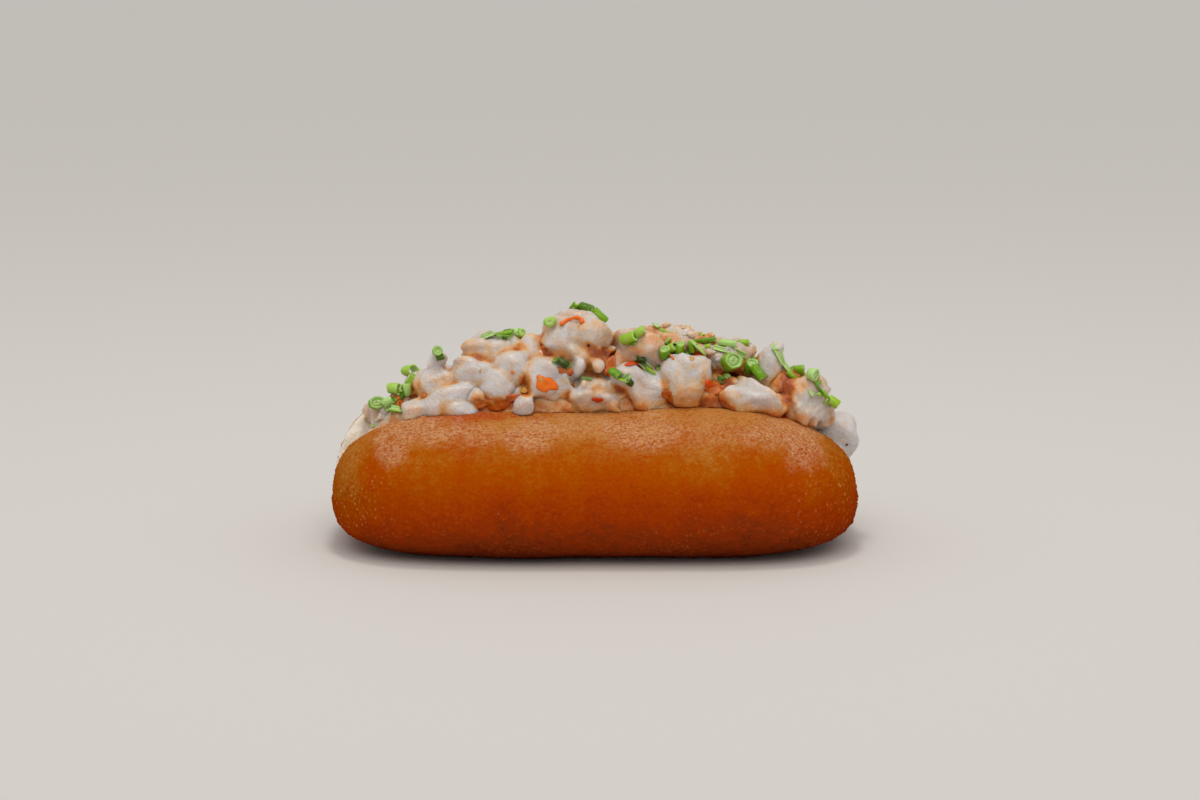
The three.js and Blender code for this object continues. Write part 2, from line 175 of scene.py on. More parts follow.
def section_loop():
    """The middle section as (y, z) points, and how far each lies past the cut edge.
    Outside, two half superellipses meet at the widest line; inside, two straight cuts
    fall from the edges to the hinge; both edges are then rounded over."""
    half = ROLL_WIDTH / 2.0
    edge = np.arccos((RIDGE_HALF_GAP / half) ** (UPPER_ROUNDNESS / 2.0))
    turn = np.linspace(np.pi - edge, 2.0 * np.pi + edge, ROLL_ROUND)
    e = np.where(np.sin(turn) >= 0.0, UPPER_ROUNDNESS, LOWER_ROUNDNESS)
    tall = np.where(np.sin(turn) >= 0.0, FRONT_RIDGE - WIDEST_AT, BELLY)
    y = half * power(np.cos(turn), 2.0 / e)
    z = WIDEST_AT + tall * power(np.sin(turn), 2.0 / e)
    down = np.linspace(1.0, 0.0, CUT_STEPS + 1)[1:]
    up = down[::-1][1:]
    y = np.concatenate([y, y[-1] * down, y[0] * up])
    z = np.concatenate([z, HINGE_HEIGHT + (z[-1] - HINGE_HEIGHT) * down,
                        HINGE_HEIGHT + (z[0] - HINGE_HEIGHT) * up])
    loop = np.stack([y, z], -1)
    cut_length = np.hypot(y[0], z[0] - HINGE_HEIGHT)
    past = np.full(len(y), -1.0)
    past[ROLL_ROUND:] = np.concatenate([(1.0 - down), (1.0 - up)]) * cut_length
    corners = loop[[0, ROLL_ROUND - 1]]
    far = np.linalg.norm(loop[:, None] - corners[None], axis=-1).min(1)
    past[:ROLL_ROUND] = -far[:ROLL_ROUND]
    blur = sum(np.roll(loop, k, axis=0) for k in range(-4, 5)) / 9.0
    near = np.exp(-((far / EDGE_SOFTNESS) ** 2))[:, None]
    return loop + near * (blur - loop), past


def openness(x, y, up):
    """How far the section stays open at x: |x| to the power p and the opening to the
    power q add up to 1, squarer below, rounder above, and squarer again at the rear
    half's left end."""
    rear = np.where(x < 0.0, up * (0.5 + 0.5 * np.tanh(y / 5.0)), 0.0)
    p = 5.4 - 1.4 * up + 1.5 * rear
    q = 2.7 - 0.4 * up + 0.3 * rear
    reach = np.minimum(np.abs(x) / (ROLL_LENGTH / 2.0), 1.0)
    return (1.0 - reach**p) ** (1.0 / q)


def top_wave(x, y, z):
    """How much the upper half is lifted: two slow waves along it, and the rear half."""
    high = np.clip((z - HINGE_HEIGHT) / (FRONT_RIDGE - HINGE_HEIGHT), 0.0, 2.0)
    rear = 1.0 / (1.0 + np.exp(-y / 4.0))
    wave = 0.55 * np.sin((x - 6.0) / 15.0) - 0.3 * np.cos(x / 9.0)
    return high * (wave + REAR_RISE * rear)


def patches(p, rows):
    """The sum of soft uneven ovals over points, each its strength in the middle and 0
    past its rim. Behind the split they lie turned half round."""
    side = np.where(p[..., 1] < 0.0, 1.0, -1.0)
    ragged_rim = 0.35 * noise(p, 3.0, 63) + 0.2 * noise(p, 1.2, 64)
    total = np.zeros(p.shape[:-1])
    for x, z, long, tall, strength in rows:
        out = np.hypot((side * p[..., 0] - x) / long, (p[..., 2] - z) / tall)
        total = total + strength * smooth(1.4, 0.4, out + ragged_rim)
    return total


def roll_grid():
    """Rings of the roll from left to right, each the middle section drawn in towards
    the hinge line, and for each point how far it lies past the cut edge."""
    loop, past = section_loop()
    dy, dz = loop[:, 0], loop[:, 1] - HINGE_HEIGHT
    length = np.hypot(dy, dz)
    up = (np.where(length > 1e-6, dz / np.maximum(length, 1e-6), 0.9) + 1.0) / 2.0
    along = np.linspace(-np.pi / 2.0, np.pi / 2.0, ROLL_STATIONS + 1)[1:-1]
    x = ROLL_LENGTH / 2.0 * np.sin(along)[:, None]
    f = openness(x, dy, up)
    y = f * dy
    z = HINGE_HEIGHT + f * dz
    z = z + top_wave(x, y, z)
    return stacked(x, y, z), np.broadcast_to(past, f.shape)


def unit(v):
    """Vectors made one long."""
    return v / np.maximum(np.linalg.norm(v, axis=-1, keepdims=True), 1e-9)


def ring_normals(rings):
    """Outward normals of a grid of rings, from the steps along and round it."""
    round_step = np.roll(rings, -1, axis=1) - np.roll(rings, 1, axis=1)
    along_step = np.gradient(rings, axis=0)
    return unit(np.cross(round_step, along_step))


def between_rings(count, around, steps):
    """Four-sided faces of a grid of rings, over a number of steps from ring to ring."""
    i, j = np.meshgrid(np.arange(steps), np.arange(around), indexing="ij")
    i2, j2 = (i + 1) % count, (j + 1) % around
    ids = [i * around + j, i * around + j2, i2 * around + j2, i2 * around + j]
    return np.stack(ids, -1).reshape(-1, 4)


def skin(rings, first, last):
    """A closed skin over rings of equal length with one point at either end:
    its points, its four-sided faces and the triangles of its two caps."""
    count, around = rings.shape[:2]
    points = np.concatenate([[first], rings.reshape(-1, 3), [last]])
    quads = 1 + between_rings(count, around, count - 1)
    j = np.arange(around)
    k = (j + 1) % around
    end = 1 + (count - 1) * around
    caps = np.concatenate([
        np.stack([0 * j, 1 + k, 1 + j], -1),
        np.stack([0 * j + len(points) - 1, end + j, end + k], -1),
    ])
    return points, quads, caps


def capped(rings):
    """A closed skin over rings, each end drawn together at the middle of its ring."""
    return skin(rings, rings[0].mean(0), rings[-1].mean(0))


def joined(skins):
    """Points and faces of several skins as one list each."""
    points, faces, start = [], [], 0
    for p, quads, caps in skins:
        points.append(p)
        faces += (quads + start).tolist() + (caps + start).tolist()
        start += len(p)
    return np.concatenate(points), faces


def add_piece(name, skins, values, material):
    """A mesh object from closed skins in millimetres, with one number per point for
    each named value. It rides with the object and is shaded smooth."""
    points, faces = joined(skins)
    mesh = bpy.data.meshes.new(name)
    mesh.from_pydata((points * MM).tolist(), [], faces)
    mesh.polygons.foreach_set("use_smooth", np.ones(len(mesh.polygons), bool))
    for key, number in values.items():
        mesh.attributes.new(key, "FLOAT", "POINT").data.foreach_set("value", number)
    mesh.materials.append(material)
    piece = new_object(name, mesh)
    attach(piece, "root")
    return piece


def with_ends(rings_value, first, last):
    """Per-point numbers in the order of a skin: the first end, the rings, the last."""
    return np.concatenate([[first], np.ravel(rings_value), [last]])


def linear(hex_colour):
    """An sRGB hex colour as the linear values that shaders take, and solid."""
    v = np.array([int(hex_colour[k:k + 2], 16) for k in (1, 3, 5)]) / 255.0
    v = np.where(v <= 0.04045, v / 12.92, ((v + 0.055) / 1.055) ** 2.4)
    return (*v.tolist(), 1.0)


def add(tree, kind, inputs=None, stops=None, out=0, **settings):
    """Adds a shader node with its settings, its links or values by input name or
    number, and the colour stops of a ramp. Returns the output that is asked for."""
    made = tree.nodes.new("ShaderNode" + kind)
    for key, value in settings.items():
        setattr(made, key, value)
    if stops:
        ramp = made.color_ramp
        while len(ramp.elements) < len(stops):
            ramp.elements.new(0.5)
        for element, (at, colour) in zip(ramp.elements, stops):
            element.position = at
            element.color = linear(colour)
    for key, value in (inputs or {}).items():
        if isinstance(value, bpy.types.NodeSocket):
            tree.links.new(value, made.inputs[key])
        else:
            made.inputs[key].default_value = value
    return made.outputs[out] if made.outputs else None


def new_material(name):
    """A node material and its empty tree."""
    material = bpy.data.materials.new(name)
    material.use_nodes = True
    material.node_tree.nodes.clear()
    return material, material.node_tree


def fried_crust_material():
    """Deep-fried milk bread: an oily, finely blistered crust that runs from pale tan on
    the shoulders to red brown underneath, partly its own colour and partly painted light and
    shade, with a painted sheen on the shoulders and painted glints on the beaded blisters,
    over dull white crumb where it is cut."""
    material, tree = new_material("fried_milk_bread")
    place = add(tree, "TexCoord", out="Object")
    paleness_and_painted_light, blister, inside, painted_sheen_mask, beaded = [
        add(tree, "Attribute", out="Fac", attribute_name=name)
        for name in ("paleness_and_painted_light", "blister", "crumb", "shoulder_sheen", "beaded")]
    mottle, grain = [
        add(tree, "TexNoise", {"Vector": place, "Scale": 1.0 / (size * MM), "Detail": 4.0,
                               "Roughness": roughness})
        for size, roughness in ((2.2, 0.7), (0.7, 0.75))]
    level = add(tree, "Math", {0: paleness_and_painted_light, 1: -0.55}, operation="ADD")
    for pattern, share in ((mottle, 0.5), (grain, 0.6), (blister, 0.1)):
        level = add(tree, "Math", {0: pattern, 1: share, 2: level}, operation="MULTIPLY_ADD")
    tone = add(tree, "ValToRGB", {"Fac": level}, stops=[
        (0.00, "#70280E"), (0.16, "#86320E"), (0.34, "#9A3406"), (0.52, "#A43E02"),
        (0.68, "#A44800"), (0.82, "#A6580E"), (1.00, "#AE702E"),
    ])
    # Painted sheen: pale pinkish grain mixed into the colour where the shoulder mask says.
    sheen_grain = add(tree, "MapRange", {"Value": grain, "From Min": 0.38, "From Max": 0.7,
                                  "To Min": 0.0, "To Max": 0.72})
    sheen = add(tree, "Math", {0: sheen_grain, 1: painted_sheen_mask}, operation="MULTIPLY", use_clamp=True)
    with_sheen = add(tree, "Mix", {0: sheen, 6: tone, 7: linear("#DEB08E")}, out=2,
                  data_type="RGBA")
    # Painted glints: pale spots on the beaded blisters, with a little coat on the same spots.
    bead = add(tree, "TexVoronoi", {"Vector": place, "Scale": 1.0 / (1.0 * MM)})
    glint = add(tree, "MapRange", {"Value": bead, "From Min": 0.1, "From Max": 0.42,
                                   "To Min": 0.85, "To Max": 0.0})
    chosen = add(tree, "MapRange", {"Value": bead.node.outputs["Color"], "From Min": 0.35,
                                    "From Max": 0.75})
    glint_spots = add(tree, "Math", {0: glint, 1: chosen}, operation="MULTIPLY")
    painted_glint = add(tree, "Math", {0: glint_spots, 1: beaded}, operation="MULTIPLY", use_clamp=True)
    with_glints = add(tree, "Mix", {0: painted_glint, 6: with_sheen, 7: linear("#DA8E48")}, out=2,
                  data_type="RGBA")
    white = add(tree, "ValToRGB", {"Fac": mottle}, stops=[(0.3, "#D6C8B4"), (0.6, "#EAE2D6")])
    colour = add(tree, "Mix", {0: inside, 6: with_glints, 7: white}, out=2, data_type="RGBA")
    rough = add(tree, "MapRange", {"Value": mottle, "From Min": 0.3, "From Max": 0.7,
                                   "To Min": 0.32, "To Max": 0.5})
    dull = add(tree, "Math", {0: inside, 1: 0.4, 2: rough}, operation="MULTIPLY_ADD",
               use_clamp=True)
    strength = add(tree, "Math", {0: beaded, 1: 0.5, 2: 0.5}, operation="MULTIPLY_ADD")
    gloss = add(tree, "Math", {0: painted_glint, 1: 0.3}, operation="MULTIPLY")
    domes = add(tree, "Math", {0: bead, 1: -0.8, 2: grain}, operation="MULTIPLY_ADD")
    bump = add(tree, "Bump", {"Height": domes, "Strength": strength, "Distance": 0.3 * MM})
    shader = add(tree, "BsdfPrincipled", {
        "Base Color": colour, "Roughness": dull, "Normal": bump, "Specular IOR Level": 0.0,
        "Subsurface Weight": 0.05, "Subsurface Radius": (1.0, 0.4, 0.15),
        "Subsurface Scale": 1.0 * MM, "Coat Weight": gloss, "Coat Roughness": 0.2,
        "Coat Tint": linear("#FFDCB4"), "Coat Normal": bump,
    })
    add(tree, "OutputMaterial", {"Surface": shader})
    return material


roll, past_edge = roll_grid()
outward = ring_normals(roll)

# White crumb starts a little inside the cut edge, and takes in the rear half's left end.
rear_left_end = smooth(-44.0, -50.0, roll[..., 0]) * smooth(0.0, 4.0, roll[..., 1])
crumb_from = CRUST_THICKNESS - 2.6 * rear_left_end
crumb = smooth(crumb_from, crumb_from + 0.5, past_edge + 0.4 * noise(roll, 1.6, 5))

# Small blisters all over the crust, fullest on the shoulders that carry the painted sheen
# and at the beaded ends, and a slow unevenness away from the filling.
near_blister, _, blister_draw = cells(roll, BLISTER_SIZE, 11)
dome = domed(near_blister, 0.55) * blister_draw**1.5
fine_gap, _, fine_draw = cells(roll, BLISTER_SIZE * 0.55, 23)
fine_dome = domed(fine_gap, 0.6) * fine_draw
clear_of_filling = smooth(-1.0, -7.0, past_edge)
height = roll[..., 2] / FRONT_RIDGE
# The shoulder mask, a high band and the sheen patches, is where the painted sheen goes.
shoulder_sheen = smooth(0.7, 0.92, height + 0.06 * noise(roll, 5.0, 61))
shoulder_sheen = np.clip(0.25 * shoulder_sheen + patches(roll, SHEEN_PATCHES), 0.0, 1.0)
# The beaded mask, at the ends and low down, is also where painted glints go.
beaded = smooth(36.0, 56.0, np.abs(roll[..., 0])) * (0.65 + 0.5 * noise(roll, 4.0, 62))
beaded = np.maximum(beaded, (0.12 + 0.2 * noise(roll, 7.0, 65)) * smooth(0.75, 0.4, height))
beaded = np.clip(beaded, 0.0, 1.0)
rough_skin = 0.3 + 0.7 * np.maximum(shoulder_sheen, beaded) + 0.5 * beaded
crust_relief = (rough_skin * (BLISTER_HEIGHT * dome + FINE_BLISTER_HEIGHT * fine_dome)
                + clear_of_filling * (0.34 * noise(roll, 15.0, 1) + 0.16 * noise(roll, 6.0, 2)))

# The crumb has pores and a fine grain. Each point takes the relief of what it is.
pore_gap, _, pore_draw = cells(roll, PORE_SIZE, 31)
pore = domed(pore_gap, 0.5) * smooth(0.35, 0.9, pore_draw)
crumb_relief = -PORE_DEPTH * pore + 0.14 * noise(roll, 2.6, 7) + 0.08 * noise(roll, 1.0, 8)
relief = (1.0 - crumb) * crust_relief + crumb * crumb_relief
roll = roll + outward * relief[..., None]
roll[..., 2] = np.maximum(roll[..., 2], 0.0)

# How pale the crust is, from 0 for dark: paler with height, partly its frying colour and
# partly painted light above and painted shade below, with patches and streaks, and a little
# darker towards the right end.
paleness_and_painted_light = roll[..., 2] / FRONT_RIDGE + patches(roll, TONE_LIGHT_AND_SHADE_PATCHES)
streaks = noise(roll * [1.0, 1.0, 0.4], 7.0, 41) + 0.6 * noise(roll * [1.0, 1.0, 0.5], 3.6, 44)
paleness_and_painted_light = paleness_and_painted_light + 0.07 * streaks + 0.1 * noise(roll, 16.0, 42)
paleness_and_painted_light = paleness_and_painted_light - 0.0007 * roll[..., 0]

tips = [[-ROLL_LENGTH / 2.0, 0.0, HINGE_HEIGHT], [ROLL_LENGTH / 2.0, 0.0, HINGE_HEIGHT]]
bun = add_piece("fried_roll", [skin(roll, *tips)], {
    "crumb": with_ends(crumb, 0.0, 0.0),
    "blister": with_ends(np.maximum(dome, 0.6 * fine_dome), 0.0, 0.0),
    "paleness_and_painted_light": with_ends(paleness_and_painted_light, 0.35, 0.35),
    "shoulder_sheen": with_ends(shoulder_sheen, 0.2, 0.2),
    "beaded": with_ends(np.maximum(beaded, shoulder_sheen), 0.5, 0.5),
}, fried_crust_material())
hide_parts("bun")

# ---- the prawn filling ------------------------------------------------------------------
# Peeled prawns, poached and cut into bite-sized pieces, bound with an orange chilli sauce
# and spooned into the split: white rounded lobes and ragged torn ends pressed into one
# mass. The front pieces are placed one by one as they lie, the rest of the heap by rule.
HEAP_HEIGHT = 52.5
CORE_HEIGHT = 41.0
CORE_RISE = 18.0
CORE_LENGTH = 110.0
CORE_HALF_WIDTH = 12.5
CLEARANCE = 0.06
DRAPE = 2.6
NO_BREAD = -99.0
RIDGE_UP = 0.95
NO_CAPS = np.zeros((0, 3), int)
FRONT_CHUNKS = [
    # the middle and half sizes; tilt and turn in degrees; the power that squares it off;
    # bend, rough, rag and taper are how wavy, swollen, torn and tapered it is; white, pink,
    # dry and sauce its colour, where dry also keeps some painted shade off it; pressed ones run
    # together, the rest keep their outlines
    dict(at=(-46.5, 3, 27.4), size=(6, 6.8, 5.2), tilt=18, seed=1, rag=0.6, pink=0.9,
         pressed=True),
    dict(at=(-41.2, -9.3, 31.6), size=(2.5, 2.6, 2.4), square=3.4, seed=2, rag=0.2, white=1.2,
         dry=0.4, bend=0.4),
    dict(at=(-33, -9.5, 34.4), size=(6.6, 3.6, 2.9), tilt=26, turn=4, seed=3, rag=0.1,
         white=1.5, dry=0.35, bend=0.4),
    dict(at=(-29.8, -11.9, 32.4), size=(4.4, 2.8, 2.1), tilt=-10, square=2.4, seed=4, rag=0.1,
         white=1.5, dry=0.4, bend=0.3),
    dict(at=(-26.2, -9.1, 34), size=(3.2, 3, 2.7), seed=5, rag=0.35, pink=1.2, sauce=0.3,
         pressed=True),
    dict(at=(-34.4, -4, 36.4), size=(6.6, 6.5, 4.7), square=3.0, seed=6, rag=0.35, pink=0.2,
         white=0.6, bend=0.5),
    dict(at=(-35.9, -6.4, 42.4), size=(2.1, 1.8, 1.7), square=5, seed=7, rag=0.1, white=1.4,
         dry=0.8),
    dict(at=(-27, -5.3, 39.2), size=(4.6, 5.2, 4.6), seed=8, rag=0.2, white=0.8, bend=0.4),
    dict(at=(-22.2, -7.5, 36.6), size=(4.6, 4.8, 4.4), tilt=38, seed=9, rough=0.05, rag=0.05,
         white=1.2, dry=0.2, bend=0.3),
    dict(at=(-18.6, -6.7, 40.9), size=(4.2, 4.6, 4.4), square=2.2, seed=10, rough=0.03,
         rag=0.0, white=1.2, dry=0.2, bend=0.25),
    dict(at=(-22.4, -1.5, 43.6), size=(7.8, 6, 4.6), seed=11, rough=0.1, rag=0.4, white=0.7,
         bend=0.35),
    dict(at=(-12.8, -1.5, 43.8), size=(5.4, 5, 4.4), tilt=12, seed=12, rag=0.4, white=0.8),
    dict(at=(-4.0, -2.3, 46.6), size=(8.2, 7.0, 6.7), square=2.5, seed=13, rough=0.08,
         rag=0.45, white=0.3, pink=0.4, bend=0.4),
    dict(at=(-9.0, -6.4, 42.8), size=(2.2, 1.6, 1.5), seed=32, rag=0.5, white=0.6),
    dict(at=(-6.4, -7.6, 41.9), size=(1.8, 1.5, 1.7), seed=33, rag=0.5, white=0.6),
    dict(at=(-3.7, -9.8, 41.7), size=(1.4, 2.9, 2.3), tilt=-14, seed=14, rag=0.3, white=1.3,
         dry=0.7, bend=0.3),
    dict(at=(0.7, -9.0, 41.9), size=(1.3, 2.6, 1.6), tilt=14, seed=15, rag=0.3, white=1.0,
         pink=0.5, dry=0.5, bend=0.3),
    dict(at=(2.4, -7.2, 43.2), size=(1.7, 1.4, 1.5), seed=35, rag=0.6, pink=0.6),
    dict(at=(-0.8, -5.6, 43.4), size=(5.6, 2.8, 2.2), seed=31, rag=1.0, white=0.3, sauce=0.1,
         pressed=True),
    dict(at=(2.8, 1.6, 42.0), size=(4.4, 4, 5), seed=36, rag=0.8, sauce=0.5, pressed=True),
    dict(at=(-9.8, -7.5, 37.6), size=(6.4, 5.6, 5.8), tilt=-20, seed=16, rag=0.35, white=0.55),
    dict(at=(-15.4, -13.5, 33.6), size=(2.4, 1.9, 1.6), seed=17, rough=0.05, rag=0.0,
         white=1.5, dry=0.8),
    dict(at=(1, -9.3, 34.8), size=(7.6, 4.6, 3.6), seed=18, rough=0.14, rag=0.6, pink=0.5,
         white=0.7, dry=0.3),
    dict(at=(10.8, -8.5, 37), size=(8.2, 4.8, 4.2), tilt=-27, seed=19, rough=0.08, rag=0.12,
         white=1, pink=0.2),
    dict(at=(9.6, -2.8, 43.8), size=(5.9, 6, 5.2), seed=20, rag=0.3, pink=0.7, bands=3,
         white=0.7),
    dict(at=(18.2, 3.5, 44.6), size=(7.4, 6.5, 3.8), tilt=-6, seed=21, rag=0.9, pink=1.4,
         pressed=True),
    dict(at=(20.7, -9.1, 38.7), size=(5.6, 5, 5.9), taper=0.26, seed=22, rough=0.03, rag=0.08,
         white=0.85, bend=0.3),
    dict(at=(29.2, 0.5, 42.4), size=(7.8, 6.5, 4), tilt=-9, seed=24, rag=0.6, pink=0.6,
         pressed=True),
    dict(at=(27.5, -8, 35.2), size=(5, 4.2, 3.6), seed=25, rag=0.5, pink=1.0, sauce=0.6,
         pressed=True),
    dict(at=(36, -9.3, 34.6), size=(7.2, 4.6, 3.4), tilt=-22, seed=26, rough=0.12, rag=0.3,
         white=0.9),
    dict(at=(39.2, -2.2, 39.6), size=(3.4, 4, 6.4), tilt=-24, taper=-0.3, seed=27, rag=0.1,
         white=1.0, bend=0.3),
    dict(at=(43.2, -3.5, 35.2), size=(3.6, 4, 4.6), seed=30, rag=0.5, sauce=0.75, pressed=True),
    dict(at=(48.2, -4.8, 32.8), size=(5.8, 6, 5.4), tilt=-12, square=2.8, seed=28, rough=0.2,
         rag=1.0, white=0.5, pink=0.5, dry=0.2),
    dict(at=(55.3, 0.6, 24.0), size=(5.2, 5.6, 5.6), seed=29, rough=0.04, rag=0.05, white=1.3,
         dry=0.8, bend=0.3),
]
STAINS = [
    # x, height, half length, half height, how much more sauce; a height is the one at
    # which a line of sight passes over the roll's middle, here and in the tables below
    (-1.1, 44.2, 1.9, 1.5, 0.6), (-8.6, 42.8, 2.6, 1.2, 0.3), (1.8, 43.0, 1.6, 1.6, 0.35),
    (-16.5, 44.6, 2.6, 1.2, 0.25), (-40.2, 36.0, 1.2, 3.0, 0.35), (-27.0, 32.8, 1.8, 1.6, 0.35),
    (-15.6, 36.2, 1.8, 3.2, 0.5), (-20.5, 31.6, 5.0, 1.6, 0.8), (3.6, 34.6, 4.0, 1.0, 0.35),
    (16.0, 35.5, 1.0, 3.0, 0.3), (24.8, 38.5, 0.9, 3.0, 0.3), (31.5, 37.6, 2.2, 1.0, 0.3),
    (43.4, 35.8, 1.8, 4.4, 0.7), (8.0, 43.0, 3.0, 1.4, 0.2),
]
REAR_CHUNKS = 13
CREST_CHUNKS = 6
VIEW_DIP = 0.19
SHEAR = np.tan(VIEW_DIP)
VIEW_WAY = Vector((0.0, np.cos(VIEW_DIP), -np.sin(VIEW_DIP)))
DOWN = Vector((0.0, 0.0, -1.0))
BEND = 0.8
BEND_LENGTH = 2.7
FOLD_DEPTH = 0.13
FOLD_WIDTH = 0.17
SWELLS = 7
LOBES = 8
FLAKE_SIZE = 3.2
SHRED_SIZE = 1.6
BEAD_SIZE = 1.3
CHUNK_ROWS = 44
CHUNK_ROUND = 50
ROWS_PER_MM = 5.6
CRUMBS_IN_FRONT = 150
CRUMBS_BEHIND = 90
CRUMBS_ABOVE = 26.0
HEAP_LATTICE = 0.5
LOBES_LATTICE = 0.42
EVENED_PASSES = 34
SIGHT_FROM = 80.0
DROP_FROM = 90.0

section, section_past = section_loop()
upper_half = (section[:, 0] <= 0.0) & ((section_past > 0.0) | (section[:, 1] > WIDEST_AT))
upper_side = section[upper_half]
upper_side = upper_side[np.argsort(-upper_side[:, 0])]


def bread_top(x, y):
    """Height of the bread's upper side at (x, y), read off the middle section from the
    hinge over the ridge to the widest line, and far below where there is no bread."""
    f = np.maximum(openness(x, y, RIDGE_UP), 1e-6)
    across = np.abs(y) / f
    z = HINGE_HEIGHT + f * (np.interp(across, -upper_side[:, 0], upper_side[:, 1])
                            - HINGE_HEIGHT)
    z = z + top_wave(x, y, z)
    return np.where(across < ROLL_WIDTH / 2.0, z, NO_BREAD)


def rest_on_bread(p):
    """Points that would lie in the bread are lifted to just above it, and those that
    hang a little over it sag down to meet it."""
    lifted = p.copy()
    floor = bread_top(p[..., 0], p[..., 1])
    gap = np.maximum(p[..., 2] - floor, 0.0)
    sagged = floor + CLEARANCE + gap * smooth(-0.4, DRAPE, gap)
    lifted[..., 2] = np.where(gap < DRAPE, sagged, p[..., 2])
    return lifted


def core_grid(stations=130, around=96):
    """Rings of the mass from end to end: a squared oval that fills the split below its
    widest line and rises as a low dome above it, with lumps of chopped prawn."""
    half = CORE_LENGTH / 2.0
    floor = HINGE_HEIGHT - 1.0
    along = np.linspace(-np.pi / 2.0, np.pi / 2.0, stations + 1)[1:-1, None]
    x = half * np.sin(along)
    f = np.cos(along) ** 0.7
    turn = 2.0 * np.pi * (np.arange(around)[None] + 0.5) / around
    y = CORE_HALF_WIDTH * power(np.cos(turn), 0.8) * f
    s = power(np.sin(turn), 0.8)
    mid = floor + CORE_RISE * f
    z = np.where(s > 0.0, mid + (CORE_HEIGHT - floor - CORE_RISE) * f * s,
                 mid + CORE_RISE * f * s)
    rings = stacked(x, y, z)
    gap, _, own = cells(rings, 3.4, 51)
    lumps = 1.1 * domed(gap, 0.7) * (0.4 + 0.6 * own)
    return rings + ring_normals(rings) * lumps[..., None]


def full_turn(count):
    """Even turns round a full circle, from 0 on."""
    return 2.0 * np.pi * np.arange(count) / count


def front_ridge(x, inset=0.0):
    """Where the bread's front ridge runs at x, or a line an inset behind it."""
    return -(RIDGE_HALF_GAP - inset) * openness(x, -RIDGE_HALF_GAP, RIDGE_UP)


def foot_grid(stations=150, around=14):
    """Rings of the mush that is squeezed out along the front ridge under the larger
    pieces: an uneven flat roll whose middle follows the ridge's inner side."""
    x = np.linspace(-45.0, 47.0, stations)[:, None]
    y = front_ridge(x, 0.3)
    uneven = noise(stacked(x, y, y), 4.0, 71)
    turn = full_turn(around)
    thick = (0.9 + 0.5 * uneven) * smooth(48.0, 40.0, np.abs(x - 1.0))
    return stacked(x, y - 1.5 * thick * np.cos(turn),
                   bread_top(x, y) + 0.3 + thick * np.sin(turn))


def draw(n):
    """One repeatable draw between 0 and 1 for a whole number, or for each of several."""
    v = np.sin(np.asarray(n) * 12.9898 + 4.1414) * 43758.5453
    return v - np.floor(v)


def between(n, low, high):
    """A repeatable draw between two values."""
    return low + (high - low) * draw(n)


def heap_top(x):
    """Height of the heap along the roll: an arch that falls to the cut ends."""
    k = min(abs((x + 1.0) / 58.0), 1.0)
    return HINGE_HEIGHT + (HEAP_HEIGHT - HINGE_HEIGHT) * (1.0 - k**2.4) ** 0.75


def by_rule(n, seed, **spec):
    """A pressed piece whose colour and raggedness are drawn."""
    return dict(spec, seed=seed, pink=draw(n + 9), rag=draw(n + 10), white=draw(n + 11),
                pressed=True)


def hidden_chunks():
    """The rest of the heap: a row behind, high and low by turns and none of it in the
    bread, and a row of pieces under its crest."""
    made = []
    for i in range(REAR_CHUNKS):
        n = 500 + i * 7
        x = -45.0 + 88.0 * i / (REAR_CHUNKS - 1) + between(n, -1.5, 1.5)
        half = between(n + 1, 4.6, 6.6)
        low = i % 2 == 0
        y = between(n + 2, 11.5, 13.0) if low else between(n + 2, 6.5, 8.5)
        z = heap_top(x) * 0.93 - (9.6 if low else 5.4) - half * 0.35
        size = (half, half * between(n + 3, 0.75, 0.95), half * between(n + 4, 0.65, 0.85))
        if abs(x) < 40.0:
            z = max(z, bread_top(x, RIDGE_HALF_GAP) + 0.1 * half)
        made.append(by_rule(n, 40 + i, at=(x, y, max(z, 24.0)), size=size,
                            tilt=between(n + 5, -25, 25), turn=between(n + 6, -40, 40)))
    for i in range(CREST_CHUNKS):
        n = 900 + i * 7
        x = -40.0 + 82.0 * i / (CREST_CHUNKS - 1) + between(n, -2, 2)
        half = between(n + 1, 5.0, 6.5)
        made.append(by_rule(n, 60 + i, at=(x, between(n + 2, 2, 4), heap_top(x) * 0.95 - 5.6),
                            size=(half, half * 0.9, half * 0.75),
                            tilt=between(n + 3, -20, 20), turn=between(n + 4, -40, 40)))
    return made


def turning(tilt, turn):
    """The matrix that lifts a piece's right end by tilt and then swings it about Z."""
    t, s = np.radians(tilt), np.radians(turn)
    lift = np.array([[np.cos(t), 0, -np.sin(t)], [0, 1, 0], [np.sin(t), 0, np.cos(t)]])
    swing = np.array([[np.cos(s), -np.sin(s), 0], [np.sin(s), np.cos(s), 0], [0, 0, 1]])
    return swing @ lift


def bent(p, seed, by):
    """Points moved by slow sine waves across them, so that no piece is a plain oval."""
    x, y, z = (p / BEND_LENGTH).T
    wave = [np.sin(1.3 * y + 2.1 * z + seed), np.sin(1.7 * z + 1.1 * x + 2.0 * seed),
            np.sin(1.5 * x + 1.9 * y + 3.0 * seed)]
    return p + by * np.stack(wave, -1)


def directions(z, t):
    """Unit vectors, each from its height z and its turn t about Z."""
    r = np.sqrt(1.0 - z * z)
    return np.stack([r * np.cos(t), r * np.sin(t), z], -1)


